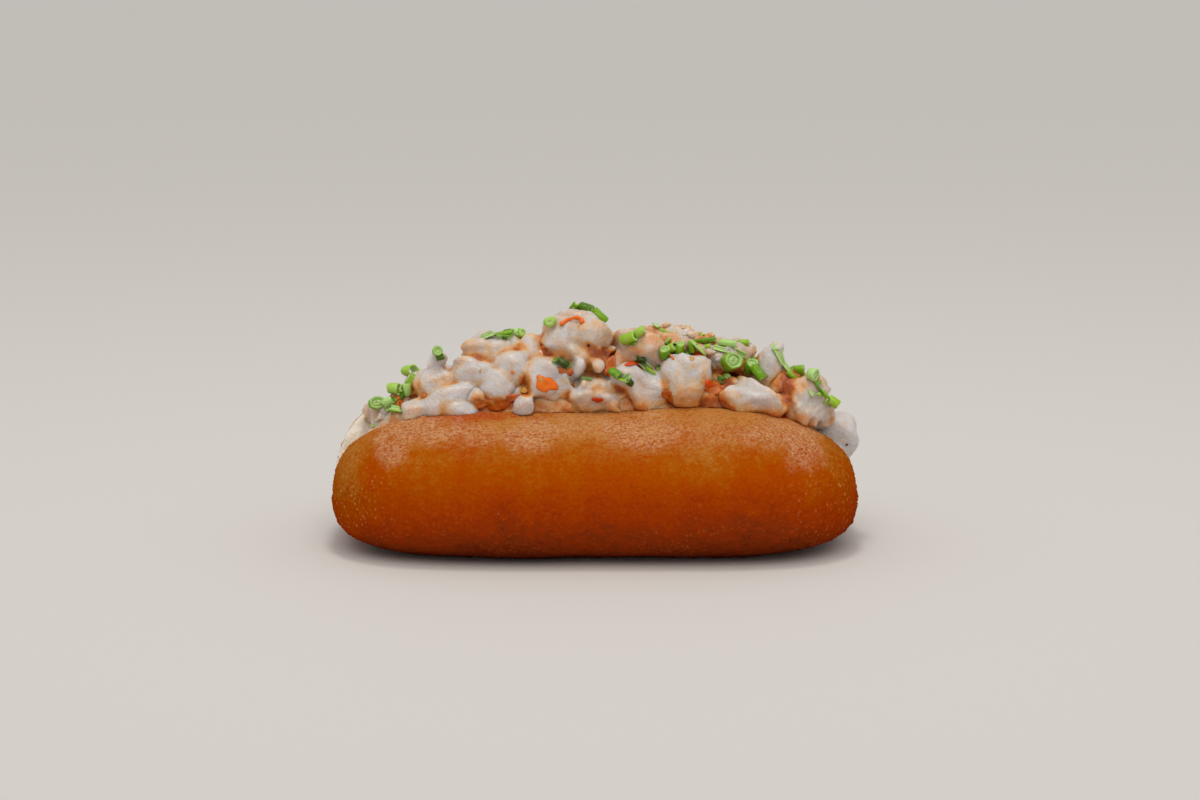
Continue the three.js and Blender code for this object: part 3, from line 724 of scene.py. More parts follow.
def chunk_grid(spec, rows, across):
    """Points of one piece in order: a pole, rings of directions, the other pole. A
    direction's reach is a superellipsoid's, swollen or dipped near seeded places, with
    soft folds where two neighbouring lobes meet."""
    seed, square, rag = spec["seed"], spec.get("square", 2.6), spec.get("rag", 0.5)
    lat = np.pi * np.arange(1, rows)[:, None] / rows
    lon = full_turn(across)
    rings = stacked(-np.cos(lat), np.sin(lat) * np.cos(lon), np.sin(lat) * np.sin(lon))
    way = np.concatenate([[[-1.0, 0, 0]], rings.reshape(-1, 3), [[1.0, 0, 0]]])
    reach = (np.abs(way) ** square).sum(-1) ** (-1.0 / square)
    b = seed * 31 + 3 * np.arange(SWELLS)
    lifts = between(b + 2, -1, 1) * spec.get("rough", 0.14)
    places = directions(between(b, -1, 1), between(b + 1, 0, 2.0 * np.pi))
    swell = 1.0 + np.exp(5.0 * (way @ places.T - 1.0)) @ lifts
    k = seed * 100.0 + np.arange(LOBES)
    lobes = directions(between(k, -1, 1), between(k + 0.37, 0, 2.0 * np.pi))
    angle = np.sort(np.arccos(np.clip(way @ lobes.T, -1.0, 1.0)), axis=-1)
    fold = np.exp(-(((angle[:, 1] - angle[:, 0]) / FOLD_WIDTH) ** 2))
    swell = swell * (1.0 - FOLD_DEPTH * (0.35 + rag) * fold)
    p = way * (reach * swell)[:, None] * spec["size"]
    p[:, 0] *= 1.0 + spec.get("taper", 0.0) * p[:, 2] / spec["size"][2]
    p = bent(p, seed, spec.get("bend", BEND))
    return p @ turning(spec.get("tilt", 0), spec.get("turn", 0)).T + spec["at"]


def own_frame(spec, p):
    """Points as a piece sees them: from its middle, along its own axes, in its sizes."""
    local = (p - spec["at"]) @ turning(spec.get("tilt", 0), spec.get("turn", 0))
    return local / spec["size"]


def inside_of(spec, p):
    """How far points lie out from a piece's middle, as a share of its reach there."""
    square = spec.get("square", 2.6)
    return (np.abs(own_frame(spec, p)) ** square).sum(-1) ** (1.0 / square)


def meat_relief(p, seed, rag):
    """Height of the meat's own skin: slow swells everywhere, flat flakes and smaller
    shreds with creases between them, and on ragged pieces small round beads."""
    near, next_near, own = cells(p * [1.0, 1.0, 1.3], FLAKE_SIZE, seed)
    flakes = (own - 0.5) * smooth(0.0, 0.3, next_near - near)
    near, next_near, own = cells(p, SHRED_SIZE, seed + 9)
    shreds = (own - 0.5) * smooth(0.0, 0.4, next_near - near)
    gap, _, own = cells(p, BEAD_SIZE, seed + 19)
    beads = domed(gap, 0.72) * own
    slow = 0.35 * noise(p, 3.8, seed) + 0.12 * noise(p, 1.7, seed + 3)
    slow = slow + 0.1 * noise(p, 0.9, seed + 5)
    return slow + (0.2 + rag) * (flakes + 0.6 * shreds) + 0.7 * rag**2 * (beads - 0.2)


def meat_values(p, all_specs, crease):
    """Point values from the pieces around each point and its own folds: how ragged it
    is, how much orange it takes from sauce and painted shade, and how flushed it is. A piece
    counts the more the deeper the point lies in it. The orange is painted warm shade in creases,
    on undersides, low down and where two pieces meet, and sauce in the mush between pieces and
    in the stains; the white pieces take less of it."""
    reach = np.stack([inside_of(spec, p) for spec in all_specs], -1)
    weight = np.exp(-9.0 * (reach - reach.min(-1, keepdims=True)))
    weight = weight / weight.sum(-1, keepdims=True)

    def mix(key, usual):
        return weight @ np.array([float(spec.get(key, usual)) for spec in all_specs])

    # Painted warm shade: seams between pieces, undersides and low points are tinted orange.
    second = np.sort(reach, axis=-1)[:, 1]
    seam_shade = (0.3 * smooth(1.5, 1.0, second) + 0.6 * smooth(1.22, 1.0, second)
             + 0.6 * smooth(1.1, 0.98, second))
    low = smooth(4.0, 0.2, p[:, 2] - bread_top(p[:, 0], p[:, 1]))
    middles = np.array([spec["at"][2] for spec in all_specs])
    halves = np.array([spec["size"][2] for spec in all_specs])
    under = smooth(0.4, -0.9, (p[:, 2] - weight @ middles) / (weight @ halves))
    mush = smooth(1.0, 1.5, reach.min(-1))
    seen = np.stack([p[:, 0], np.full(len(p), -1.0), p[:, 2] + SHEAR * p[:, 1]], -1)
    stain = patches(seen, STAINS) * smooth(7.0, 3.0, p[:, 1])
    shade_and_sauce_gathered = 0.38 * crease + 0.28 * under + 0.3 * low + 0.36 * seam_shade + 0.3 * mush + stain
    sauce_and_shade = (0.32 - 0.3 * mix("white", 0.3) + (1.0 - mix("dry", 0.0)) * shade_and_sauce_gathered
              + 0.6 * mix("sauce", 0.0) + 0.26 * noise(p, 4.2, 77) + 0.2 * noise(p, 1.7, 79))
    flushed = mix("pink", 0.2) * smooth(-0.6, 0.6, noise(p, 4.5, 78))
    for k, spec in enumerate(all_specs):
        if "bands" in spec:
            local = own_frame(spec, p)
            wave = np.cos(np.pi * spec["bands"] * local[:, 0] + 1.2 * local[:, 2] ** 2)
            flushed = flushed + 0.7 * weight[:, k] * smooth(0.3, 1.0, wave)
    return mix("rag", 0.5), np.clip(sauce_and_shade, 0.0, 1.0), np.clip(flushed, 0.0, 1.0)


def merged(skins, step):
    """One closed skin of square faces a step wide round several overlapping ones."""
    points, faces = joined(skins)
    mesh = bpy.data.meshes.new("lattice")
    mesh.from_pydata((points * MM).tolist(), [], faces)
    lump = new_object("lattice", mesh)
    remesh = lump.modifiers.new("lattice", "REMESH")
    remesh.mode = "VOXEL"
    remesh.voxel_size = step * MM
    made = lump.evaluated_get(bpy.context.evaluated_depsgraph_get()).data
    found = np.empty(len(made.vertices) * 3)
    made.vertices.foreach_get("co", found)
    corners = np.empty(len(made.loops), int)
    made.loops.foreach_get("vertex_index", corners)
    quads = corners.reshape(-1, 4)
    bpy.data.objects.remove(lump)
    bpy.data.meshes.remove(mesh)
    return found.reshape(-1, 3) / MM, quads


def eased(p, quads, passes, share):
    """Points moved by a share of the way to the mean of their neighbours, some times."""
    a = quads.ravel()
    b = np.roll(quads, -1, axis=1).ravel()
    ends, others = np.concatenate([a, b]), np.concatenate([b, a])
    count = np.maximum(np.bincount(ends, minlength=len(p)), 1)[:, None]
    for _ in range(passes):
        total = np.stack([np.bincount(ends, p[others, k], len(p)) for k in range(3)], -1)
        p = p + share * (total / count - p)
    return p


def point_normals(p, quads):
    """Outward normals of points, from the diagonals of the faces round each."""
    c = p[quads]
    n = np.cross(c[:, 2] - c[:, 0], c[:, 3] - c[:, 1])
    total = np.stack([np.bincount(quads.ravel(), np.repeat(n[:, k], 4), len(p))
                      for k in range(3)], -1)
    return unit(total)


specs = FRONT_CHUNKS + hidden_chunks()
core_ends = [[-CORE_LENGTH / 2.0, 0.0, HINGE_HEIGHT + 1.0],
             [CORE_LENGTH / 2.0, 0.0, HINGE_HEIGHT + 1.0]]
foot = foot_grid()
pressed_skins = [skin(rest_on_bread(core_grid()), *core_ends),
                 skin(rest_on_bread(foot), foot[0].mean(0), foot[-1].mean(0))]


def piece_skin(spec, rows, across, relief):
    """The closed skin of one piece, lying on the bread, with or without its relief."""
    p = chunk_grid(spec, rows, across)
    if relief:
        height = meat_relief(p, spec["seed"], spec["rag"])[:, None]
        p = p + unit(p - spec["at"]) * height
    p = rest_on_bread(p)
    return skin(p[1:-1].reshape(rows - 1, across, 3), p[0], p[-1])


def meat_skin(skins, step, passes, relief):
    """One closed skin round overlapping pieces, merged on a lattice of a step, its seams
    eased some times and its own relief added if wanted, with its values. How far it lies
    below a much smoother skin says where its creases are."""
    points, quads = merged(skins, step)
    points = eased(points, quads, passes, 0.6)
    if relief:
        ragged, _, _ = meat_values(points, specs, 0.0)
        height = meat_relief(points, 200, ragged)[:, None]
        points = points + point_normals(points, quads) * height
    points = rest_on_bread(points)
    below = eased(points, quads, EVENED_PASSES, 1.0) - points
    sunk = (below * point_normals(points, quads)).sum(-1)
    _, sauce_and_shade, flushed = meat_values(points, specs, smooth(0.0, 1.1, sunk))
    return (points, quads, NO_CAPS), {"sauce_and_shade_tint": sauce_and_shade, "flushed": flushed}


def tree_of(skins):
    """The surface of several skins, for finding where a line meets it."""
    points, faces = joined(skins)
    return BVHTree.FromPolygons(points.tolist(), faces)


def sighted(tree, x, height):
    """Where a line of sight that passes over the roll's middle at (x, height) meets a
    surface: the place and its normal first."""
    return tree.ray_cast(Vector((x, 0.0, height)) - SIGHT_FROM * VIEW_WAY, VIEW_WAY)


def dropped(tree, x, y):
    """Where something dropped at (x, y) meets a surface, as for a line of sight."""
    return tree.ray_cast(Vector((x, y, DROP_FROM)), DOWN)


loose_skins = []
for spec in specs:
    if spec.get("pressed"):
        pressed_skins.append(piece_skin(spec, CHUNK_ROWS, CHUNK_ROUND, False))
    else:
        rows = int(ROWS_PER_MM * (4.5 + max(spec["size"])))
        loose_skins.append(piece_skin(spec, rows, int(rows * 1.15), True))

# Torn crumbs of the same meat cling to the ragged pieces.
meat_tree = tree_of(pressed_skins + loose_skins)
crumb_places = []
for i in range(CRUMBS_IN_FRONT + CRUMBS_BEHIND):
    n = 20000 + i * 17
    x = between(n, -50.0, 56.0)
    if i < CRUMBS_IN_FRONT:
        height = between(n + 1, bread_top(x, -RIDGE_HALF_GAP), heap_top(x))
        hit = sighted(meat_tree, x, height)
    else:
        hit = dropped(meat_tree, x, between(n + 1, 0.0, 16.0))
    if hit[0] is not None and hit[0].z > CRUMBS_ABOVE:
        crumb_places.append((n, hit[0]))
crumb_rag, _, _ = meat_values(np.array([place for _, place in crumb_places]), specs, 0.0)
for (n, place), rag in zip(crumb_places, crumb_rag):
    if rag > 0.5 and place.z > bread_top(place.x, place.y) + 3.0:
        long = between(n + 2, 0.5, 1.2)
        size = (long, long * between(n + 3, 0.55, 0.9), long * between(n + 4, 0.6, 0.9))
        spec = dict(at=np.array(place), size=size, rough=0.4, tilt=between(n + 5, -90, 90),
                    turn=between(n + 6, -90, 90), seed=n, bend=0.3 * long, rag=1.0)
        loose_skins.append(piece_skin(spec, 10, 12, False))


def prawn_material():
    """Poached prawn meat: nearly white and slightly see-through, with a wet skin, faint
    orange-pink tissue, chilli sauce drawn into the folds, and a painted warm shade in the same
    orange in creases, on undersides and at seams."""
    material, tree = new_material("poached_prawn_meat")
    place = add(tree, "TexCoord", out="Object")
    sauce_and_shade_tint, flushed = [add(tree, "Attribute", out="Fac", attribute_name=name)
                       for name in ("sauce_and_shade_tint", "flushed")]
    blotch, fibre = [
        add(tree, "TexNoise", {"Vector": place, "Scale": 1.0 / (size * MM), "Detail": 4.0,
                               "Roughness": 0.6})
        for size in (1.8, 0.7)]
    streaky = add(tree, "MapRange", {"Value": blotch, "From Min": 0.3, "From Max": 0.7,
                                     "To Min": -0.12, "To Max": 0.12})
    sauce_and_shade_level = add(tree, "Math", {0: sauce_and_shade_tint, 1: streaky}, operation="ADD", use_clamp=True)
    # One orange ramp paints both the sauce and the warm shade.
    sauce_and_shade_colour = add(tree, "ValToRGB", {"Fac": sauce_and_shade_level}, stops=[
        (0.0, "#CCC8C8"), (0.2, "#D0C0B0"), (0.4, "#D8AE82"), (0.6, "#D28C42"),
        (0.8, "#BC6012"), (1.0, "#9C4002"),
    ])
    flush = add(tree, "Math", {0: flushed, 1: blotch}, operation="MULTIPLY", use_clamp=True)
    colour = add(tree, "Mix", {0: flush, 6: sauce_and_shade_colour, 7: linear("#D09468")}, out=2,
                 data_type="RGBA")
    bump = add(tree, "Bump", {"Height": fibre, "Strength": 1.0, "Distance": 0.45 * MM})
    wet = add(tree, "MapRange", {"Value": blotch, "From Min": 0.3, "From Max": 0.7,
                                 "To Min": 0.28, "To Max": 0.5})
    shader = add(tree, "BsdfPrincipled", {
        "Base Color": colour, "Roughness": wet, "IOR": 1.4, "Normal": bump,
        "Subsurface Weight": 0.9, "Subsurface Radius": (1.0, 0.72, 0.5),
        "Subsurface Scale": 2.6 * MM, "Coat Weight": 0.3, "Coat Roughness": 0.12,
    })
    add(tree, "OutputMaterial", {"Surface": shader})
    return material


heap_skin, heap_values = meat_skin(pressed_skins, HEAP_LATTICE, 3, True)
lobes_skin, lobes_values = meat_skin(loose_skins, LOBES_LATTICE, 1, False)
poached_prawn = prawn_material()
prawn_heap = add_piece("prawn_heap", [heap_skin], heap_values, poached_prawn)
prawn_lobes = add_piece("prawn_lobes", [lobes_skin], lobes_values, poached_prawn)
for piece in (prawn_heap, prawn_lobes):
    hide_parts("prawn_filling")
heap_points = np.concatenate([heap_skin[0], lobes_skin[0]])
heap_tree = tree_of([heap_skin, lobes_skin])

# ---- the spring onion -------------------------------------------------------------------
# Green tops of spring onion, chopped across into short hollow rings, slivers and strips,
# and scattered over the heap. The skin is bright green, the inner wall pale. Those seen
# from the front are placed one by one, the small ones and those behind by rule.
SOLID = 2.0
ONION_PIECES = [
    # x, height, lean, facing, radius, length, share of a turn or SOLID, tone; the darkest
    # tones are painted shade on pieces that lie in shadow
    (-48.4, 33.6, 15, 0.75, 1.7, 1.7, 1.0, 0.45), (-45.6, 34.6, -8, 0.3, 1.4, 2.6, 1.0, 0.88),
    (-46.8, 31.2, 55, 0.2, 1.5, 2.6, 1.0, 0.97), (-44.8, 29.9, -32, 0.1, 1.2, 3.2, 0.45, 0.6),
    (-43.8, 34.0, 80, 0.0, 0.8, 3.0, 0.5, 0.2), (-48.6, 31.6, 70, 0.3, 1.0, 2.0, 0.5, 0.8),
    (-42.5, 39.0, 105, 0.25, 1.1, 2.8, 1.0, 0.95), (-41.8, 36.0, 78, 0.1, 1.2, 3.4, 1.0, 0.6),
    (-35.2, 43.0, 60, 0.9, 1.2, 1.4, 1.0, 0.55),
    (-24.0, 46.8, 55, 0.0, 0.9, 2.6, 0.5, 0.04), (-20.8, 47.4, -3, 0.1, 1.0, 4.8, 0.6, 0.6),
    (-18.7, 49.2, 28, 0.3, 1.1, 3.4, 0.5, 0.97), (-17.2, 48.2, 40, 0.4, 1.1, 2.2, 1.0, 0.86),
    (-20.6, 46.6, -10, 0.0, 0.7, 3.4, 0.4, 0.35),
    (-9.6, 49.6, 0, 1.0, 1.35, 1.3, SOLID, 0.85),
    (-4.5, 53.8, 72, 0.1, 1.0, 2.6, 0.6, 0.5), (-2.2, 53.7, -20, 0.25, 1.3, 2.6, 1.0, 0.22),
    (0.7, 52.7, -48, 0.15, 1.2, 4.0, 1.0, 0.55), (-0.9, 53.9, 10, 0.2, 0.8, 2.4, 0.5, 0.75),
    (-7.2, 40.2, -20, 0.2, 1.1, 2.8, 1.0, 0.07), (-1.8, 36.8, -15, 0.1, 0.9, 2.4, 0.5, 0.08),
    (5.1, 38.2, -40, 0.25, 1.1, 2.6, 1.0, 0.4), (6.3, 36.8, -15, 0.1, 0.9, 2.8, 0.4, 0.82),
    (8.0, 46.0, 22, 0.25, 1.3, 3.4, 1.0, 0.78), (10.3, 47.3, 50, 0.3, 1.1, 2.4, 1.0, 0.86),
    (10.4, 41.8, -30, 0.2, 1.0, 2.6, 0.6, 0.04), (11.4, 40.2, -42, 0.1, 1.0, 3.0, 0.5, 0.97),
    (13.8, 39.4, 62, 0.4, 1.2, 2.6, 1.0, 0.5), (12.6, 38.6, -50, 0.1, 0.7, 2.6, 0.4, 0.7),
    (15.8, 48.3, 4, 0.1, 0.8, 3.2, 0.45, 0.7), (15.2, 43.4, 78, 0.45, 1.3, 2.4, 1.0, 0.42),
    (17.4, 44.6, 30, 0.3, 1.2, 2.8, 1.0, 0.84), (19.3, 44.2, 82, 0.1, 1.2, 2.8, 1.0, 0.6),
    (21.6, 44.5, 88, 0.15, 1.1, 2.8, 1.0, 0.64), (16.4, 45.8, 50, 0.2, 0.9, 2.4, 0.5, 0.88),
    (25.0, 45.6, -12, 0.0, 0.8, 5.4, 0.5, 0.34), (23.8, 44.4, -38, 0.0, 0.8, 4.4, 0.4, 0.93),
    (30.2, 45.3, -8, 0.1, 1.0, 4.4, 0.5, 0.95), (28.6, 43.8, -24, 0.0, 0.8, 3.6, 0.4, 0.82),
    (30.4, 41.0, 12, 0.72, 2.1, 2.8, 1.0, 0.6), (34.3, 40.3, 42, 0.5, 1.4, 2.6, 1.0, 0.42),
    (37.4, 38.6, -52, 0.2, 1.4, 3.8, 1.0, 0.46), (32.8, 43.0, -20, 0.0, 0.9, 3.2, 0.45, 0.9),
    (35.8, 42.2, -35, 0.2, 1.0, 3.0, 0.5, 0.6), (29.7, 37.9, -28, 0.0, 0.9, 5.2, 0.45, 0.28),
    (28.4, 36.4, -60, 0.1, 0.8, 2.4, 0.5, 0.12),
    (41.2, 42.8, -66, 0.0, 0.7, 5.0, 0.3, 0.84), (42.6, 41.2, -60, 0.0, 0.6, 4.6, 0.3, 0.74),
    (43.8, 42.6, -30, 0.1, 0.6, 3.2, 0.3, 0.8), (43.4, 39.6, -75, 0.1, 0.7, 3.4, 0.4, 0.5),
    (45.2, 39.9, 52, 0.5, 1.3, 2.4, 1.0, 0.52), (46.5, 38.4, 18, 0.25, 1.2, 2.4, 1.0, 0.6),
    (44.6, 37.6, -40, 0.2, 0.9, 2.8, 0.5, 0.66), (47.0, 40.4, 60, 0.3, 0.9, 2.2, 0.5, 0.5),
    (48.8, 37.4, -8, 0.55, 1.5, 2.2, 1.0, 0.97), (50.3, 34.8, -60, 0.1, 0.8, 3.0, 0.4, 0.3),
    (53.6, 32.0, -35, 0.35, 1.2, 2.8, 1.0, 0.8), (51.8, 33.4, -50, 0.1, 0.7, 2.6, 0.4, 0.62),
]
REAR_ONION = 13
SMALL_ONION = 46
ONION_ABOVE = 24.0


def onion_piece(at, axis, radius, length, wall, arc, squash, slant, start=0.0):
    """A cut ring, or part of one: a thin rectangle with eased corners is carried round
    the stem's axis through arc of a turn, its ends cut at a slant, and squashed."""
    steps = max(int(18 * arc), 6)
    whole = arc >= 1.0
    turn = start + 2.0 * np.pi * arc * np.arange(steps) / (steps if whole else steps - 1)
    ease = 0.22 * wall
    half = length / 2.0
    profile = np.array([
        (radius, -half + ease), (radius, half - ease), (radius - ease, half),
        (radius - wall + ease, half), (radius - wall, half - ease),
        (radius - wall, -half + ease), (radius - wall + ease, -half), (radius - ease, -half),
    ])
    ragged_end = (0.02 if whole else 0.07) * length * np.sin(5.0 * turn + radius)[:, None]
    ring = np.stack([
        profile[None, :, 1] + slant * radius * np.cos(turn)[:, None]
        + ragged_end * np.sign(profile[None, :, 1]),
        profile[None, :, 0] * np.cos(turn)[:, None] * (1.0 + squash),
        profile[None, :, 0] * np.sin(turn)[:, None] * (1.0 - squash),
    ], -1)
    turned = np.array(Vector((1.0, 0.0, 0.0)).rotation_difference(axis).to_matrix())
    ring = ring @ turned.T
    ring = ring * (1.0 + 0.2 * noise(ring + at, 1.5, 91)[..., None]) + np.array(at)
    outer = np.broadcast_to(np.array([1, 1, 0.6, 0.25, 0, 0, 0.25, 0.6]), ring.shape[:2])
    if not whole:
        return capped(ring), with_ends(outer, 0.4, 0.4)
    count, around = ring.shape[:2]
    quads = between_rings(count, around, count)
    return (ring.reshape(-1, 3), quads, NO_CAPS), outer.ravel()


onion_made = []


def lay_onion(n, hit, axis, radius, length, arc, tone, facing=0.0):
    """Lays one piece where its line met the heap: its axis bends to the surface unless
    it faces out, and a sliver lies on its hollow or its round side."""
    place, normal, _, _ = hit
    if place is None or place.z <= ONION_ABOVE:
        return
    axis = (axis - (1.0 - facing) * 0.75 * axis.dot(normal) * normal).normalized()
    wall = between(n + 9, 0.34, 0.5) * min(radius, 1.3)
    squash = between(n + 10, 0.05, 0.32) * (1.0 - 0.7 * facing)
    slant = between(n + 11, -0.35, 0.35) * (1.0 - 0.7 * facing)
    if arc == SOLID:
        wall = 0.95 * radius
    if arc >= 1.0:
        lift = (0.45 + 0.4 * facing) * radius + 0.2 * length * facing
        made = onion_piece(place + normal * lift, axis, radius, length, wall, 1.0, squash,
                           slant)
        if arc != SOLID and (facing > 0.3 or draw(n + 13) < 0.5):
            core = radius - 1.02 * wall
            inner, side_value = onion_piece(place + normal * lift, axis, core, length * 0.8,
                                            0.95 * core, 1.0, squash, slant)
            onion_made.append((inner, 0.35 * side_value, np.full(len(side_value), tone)))
    else:
        (points, quads, caps), side_value = onion_piece(
            place, axis, radius, length, wall, arc, 0.2, slant,
            between(n + 14, 0.0, 2.0 * np.pi))
        shift = np.array(place + normal * between(n + 15, 0.2, 0.5)) - points.mean(0)
        made = (points + shift, quads, caps), side_value
    onion_made.append((*made, np.full(len(made[1]), tone)))


def seen_at(x, height):
    """Where a line of sight meets the heap, or where a piece dropped from above comes
    to rest if the line passes over it."""
    hit = sighted(heap_tree, x, height)
    return hit if hit[0] is not None else dropped(heap_tree, x, -1.5)


for k, (x, height, lean, facing, radius, length, arc, tone) in enumerate(ONION_PIECES):
    lie = Vector((np.cos(np.radians(lean)), 0.0, np.sin(np.radians(lean))))
    axis = lie.slerp(-VIEW_WAY, facing)
    lay_onion(3000 + 19 * k, seen_at(x, height), axis, radius, length, arc, tone, facing)
for k in range(SMALL_ONION + REAR_ONION):
    n = 7100 + k * 13
    spin = between(n + 5, 0.0, 2.0 * np.pi)
    small = k < SMALL_ONION
    if small:
        near = ONION_PIECES[int(draw(n + 2) * len(ONION_PIECES))]
        hit = seen_at(near[0] + between(n, -2.2, 2.2), near[1] + between(n + 1, -1.6, 1.6))
    else:
        x = -44.0 + 92.0 * (k - SMALL_ONION + draw(n)) / REAR_ONION
        hit = dropped(heap_tree, x, between(n + 1, 1, 15))
    whole = draw(n + 7) < (0.25 if small else 0.7)
    lay_onion(n, hit, Vector((np.cos(spin), np.sin(spin), 0.3)),
              between(n + 3, 0.95, 1.6) * (0.55 if small else 1.0),
              between(n + 4, 1.4, 3.0) * (0.7 if small else 1.0),
              1.0 if whole else between(n + 8, 0.3, 0.5), draw(n + 12))


def spring_onion_material():
    """Raw spring onion: a waxy bright green skin with fine streaks along the stem, and a
    pale mint inner wall that lets some light through; its darkest greens are painted shade."""
    material, tree = new_material("raw_spring_onion")
    place = add(tree, "TexCoord", out="Object")
    outer, tone = [add(tree, "Attribute", out="Fac", attribute_name=name)
                   for name in ("outer", "tone")]
    streak = add(tree, "TexNoise", {"Vector": place, "Scale": 1.0 / (0.9 * MM), "Detail": 2.0})
    green = add(tree, "ValToRGB", {"Fac": tone}, stops=[
        (0.00, "#28300A"), (0.12, "#3E5408"), (0.34, "#5C8C06"), (0.60, "#7AA60E"),
        (0.84, "#9CBE30"), (1.00, "#B0D68C"),
    ])
    shade = add(tree, "MapRange", {"Value": streak, "From Min": 0.25, "From Max": 0.75,
                                   "To Min": -0.25, "To Max": 0.25})
    part = add(tree, "Math", {0: outer, 1: shade}, operation="ADD", use_clamp=True)
    colour = add(tree, "Mix", {0: part, 6: linear("#B4D288"), 7: green}, out=2,
                 data_type="RGBA")
    shader = add(tree, "BsdfPrincipled", {
        "Base Color": colour, "Roughness": 0.3, "Specular IOR Level": 0.25,
        "Subsurface Weight": 0.4, "Subsurface Radius": (0.5, 1.0, 0.2),
        "Subsurface Scale": 1.0 * MM,
    })
    add(tree, "OutputMaterial", {"Surface": shader})
    return material


onion = add_piece("spring_onion_rings", [made for made, _, _ in onion_made], {
    "outer": np.concatenate([side_value for _, side_value, _ in onion_made]),
    "tone": np.concatenate([tone for _, _, tone in onion_made]),
}, spring_onion_material())
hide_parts("prawn_filling")

# ---- the chilli and the sauce -----------------------------------------------------------
# Shreds of red and orange chilli lie on the prawn, and the oily sauce fills the gaps
# along the front ridge. Both are thin films that follow what lies under them.
DEPTH_STEP = 0.6
DEPTH_REACH = 62.0
DEPTH_TALL = 64.0
UNSEEN = 99.0
FILM_RINGS = 10
FILM_ROUND = 28

# The heap's depth as it is seen from the front: the nearest y in each cell of a grid of x
# and of the height at which a line of sight passes over the roll's middle.
depth_cells = (int(2.0 * DEPTH_REACH / DEPTH_STEP), int(DEPTH_TALL / DEPTH_STEP))
column = ((heap_points[:, 0] + DEPTH_REACH) / DEPTH_STEP).astype(int)
row = ((heap_points[:, 2] + SHEAR * heap_points[:, 1]) / DEPTH_STEP).astype(int)
front_depth = np.full(depth_cells, UNSEEN)
np.minimum.at(front_depth, (column.clip(0, depth_cells[0] - 1),
                            row.clip(0, depth_cells[1] - 1)), heap_points[:, 1])
for _ in range(2):
    beside = np.minimum.reduce([np.roll(front_depth, k, axis) for k in (-1, 1)
                                for axis in (0, 1)])
    front_depth = np.where(front_depth == UNSEEN, beside, front_depth)


def depth_at(x, height):
    """The heap's depth on lines of sight, blended between the four cells round each."""
    u = (x + DEPTH_REACH) / DEPTH_STEP - 0.5
    v = height / DEPTH_STEP - 0.5
    i = np.clip(u.astype(int), 0, depth_cells[0] - 2)
    j = np.clip(v.astype(int), 0, depth_cells[1] - 2)
    a, b = np.clip(u - i, 0.0, 1.0), np.clip(v - j, 0.0, 1.0)
    return ((1 - a) * (1 - b) * front_depth[i, j] + a * (1 - b) * front_depth[i + 1, j]
            + (1 - a) * b * front_depth[i, j + 1] + a * b * front_depth[i + 1, j + 1])


def film_grid(x, height, half_long, half_tall, tilt, seed, evening, proud):
    """A closed film laid on the heap: rings spread from its middle to an uneven rim and
    back behind. Its front stands a little proud of the depth under it, which is evened
    out over the film some times, and sinks into it at the rim."""
    turn = full_turn(FILM_ROUND)
    edge = (1.0 + 0.2 * np.sin(2.0 * turn + seed) + 0.15 * np.sin(3.0 * turn + 2.0 * seed)
            + 0.08 * np.sin(5.0 * turn + 3.0 * seed))
    out = (np.arange(FILM_RINGS) + 1.0)[:, None] / FILM_RINGS
    t = np.radians(tilt)
    along, up = half_long * out * edge * np.cos(turn), half_tall * out * edge * np.sin(turn)
    px = x + along * np.cos(t) - up * np.sin(t)
    ph = height + along * np.sin(t) + up * np.cos(t)
    depth = depth_at(px, ph)
    near = np.percentile(depth, 30)
    level = np.clip(depth, near - 2.5, near + 3.5)
    for _ in range(evening):
        level = (np.roll(level, 1, 1) + np.roll(level, -1, 1) + 2.0 * level) / 4.0
        inner = np.concatenate([level[:1], level[:-1]])
        beyond = np.concatenate([level[1:], level[-1:]])
        level = (inner + beyond + 2.0 * level) / 4.0
    y = level - proud * (1.0 - out**4) + (0.3 - 0.5 * proud) * smooth(0.75, 1.0, out)
    behind = y + 0.5 + 2.0 * proud
    front = np.stack([px, y, ph - SHEAR * y], -1)
    back = np.stack([px, behind, ph - SHEAR * behind], -1)[::-1]
    return capped(rest_on_bread(np.concatenate([front, back])))


CHILLI_SHREDS = [
    # x, height, half length, half height, tilt, tone
    # The first row is a small pale film, a painted glint of light.
    (-15.9, 34.4, 0.9, 0.6, 0, 0.98),
    (-11.0, 35.8, 2.5, 1.9, -52, 0.64), (-11.8, 36.7, 1.0, 0.7, -50, 0.86),
    (8.3, 40.6, 1.3, 0.7, 8, 0.35), (23.3, 42.9, 0.7, 0.5, 0, 0.4),
    (0.7, 32.2, 1.3, 0.6, 10, 0.2), (25.7, 35.9, 1.3, 0.8, 15, 0.45),
    (-1.4, 44.7, 0.32, 0.28, 0, -0.4),
    (57.4, 22.0, 0.3, 0.26, 0, -0.4), (-44.4, 33.2, 1.0, 1.0, 0, 0.45),
]
SCATTERED_SHREDS = 7
shreds = [(film_grid(*row[:5], 300 + i, 4, 0.4), row[5])
          for i, row in enumerate(CHILLI_SHREDS)]
for i in range(SCATTERED_SHREDS):
    n = 8000 + i * 5
    x = between(n, -40, 48)
    made = film_grid(x, between(n + 1, 33, heap_top(x) - 6.0), between(n + 2, 0.35, 0.8),
                     between(n + 3, 0.25, 0.5), between(n + 4, -60, 60), 400 + i, 1, 0.15)
    shreds.append((made, between(n + 6, 0.5, 1.0)))

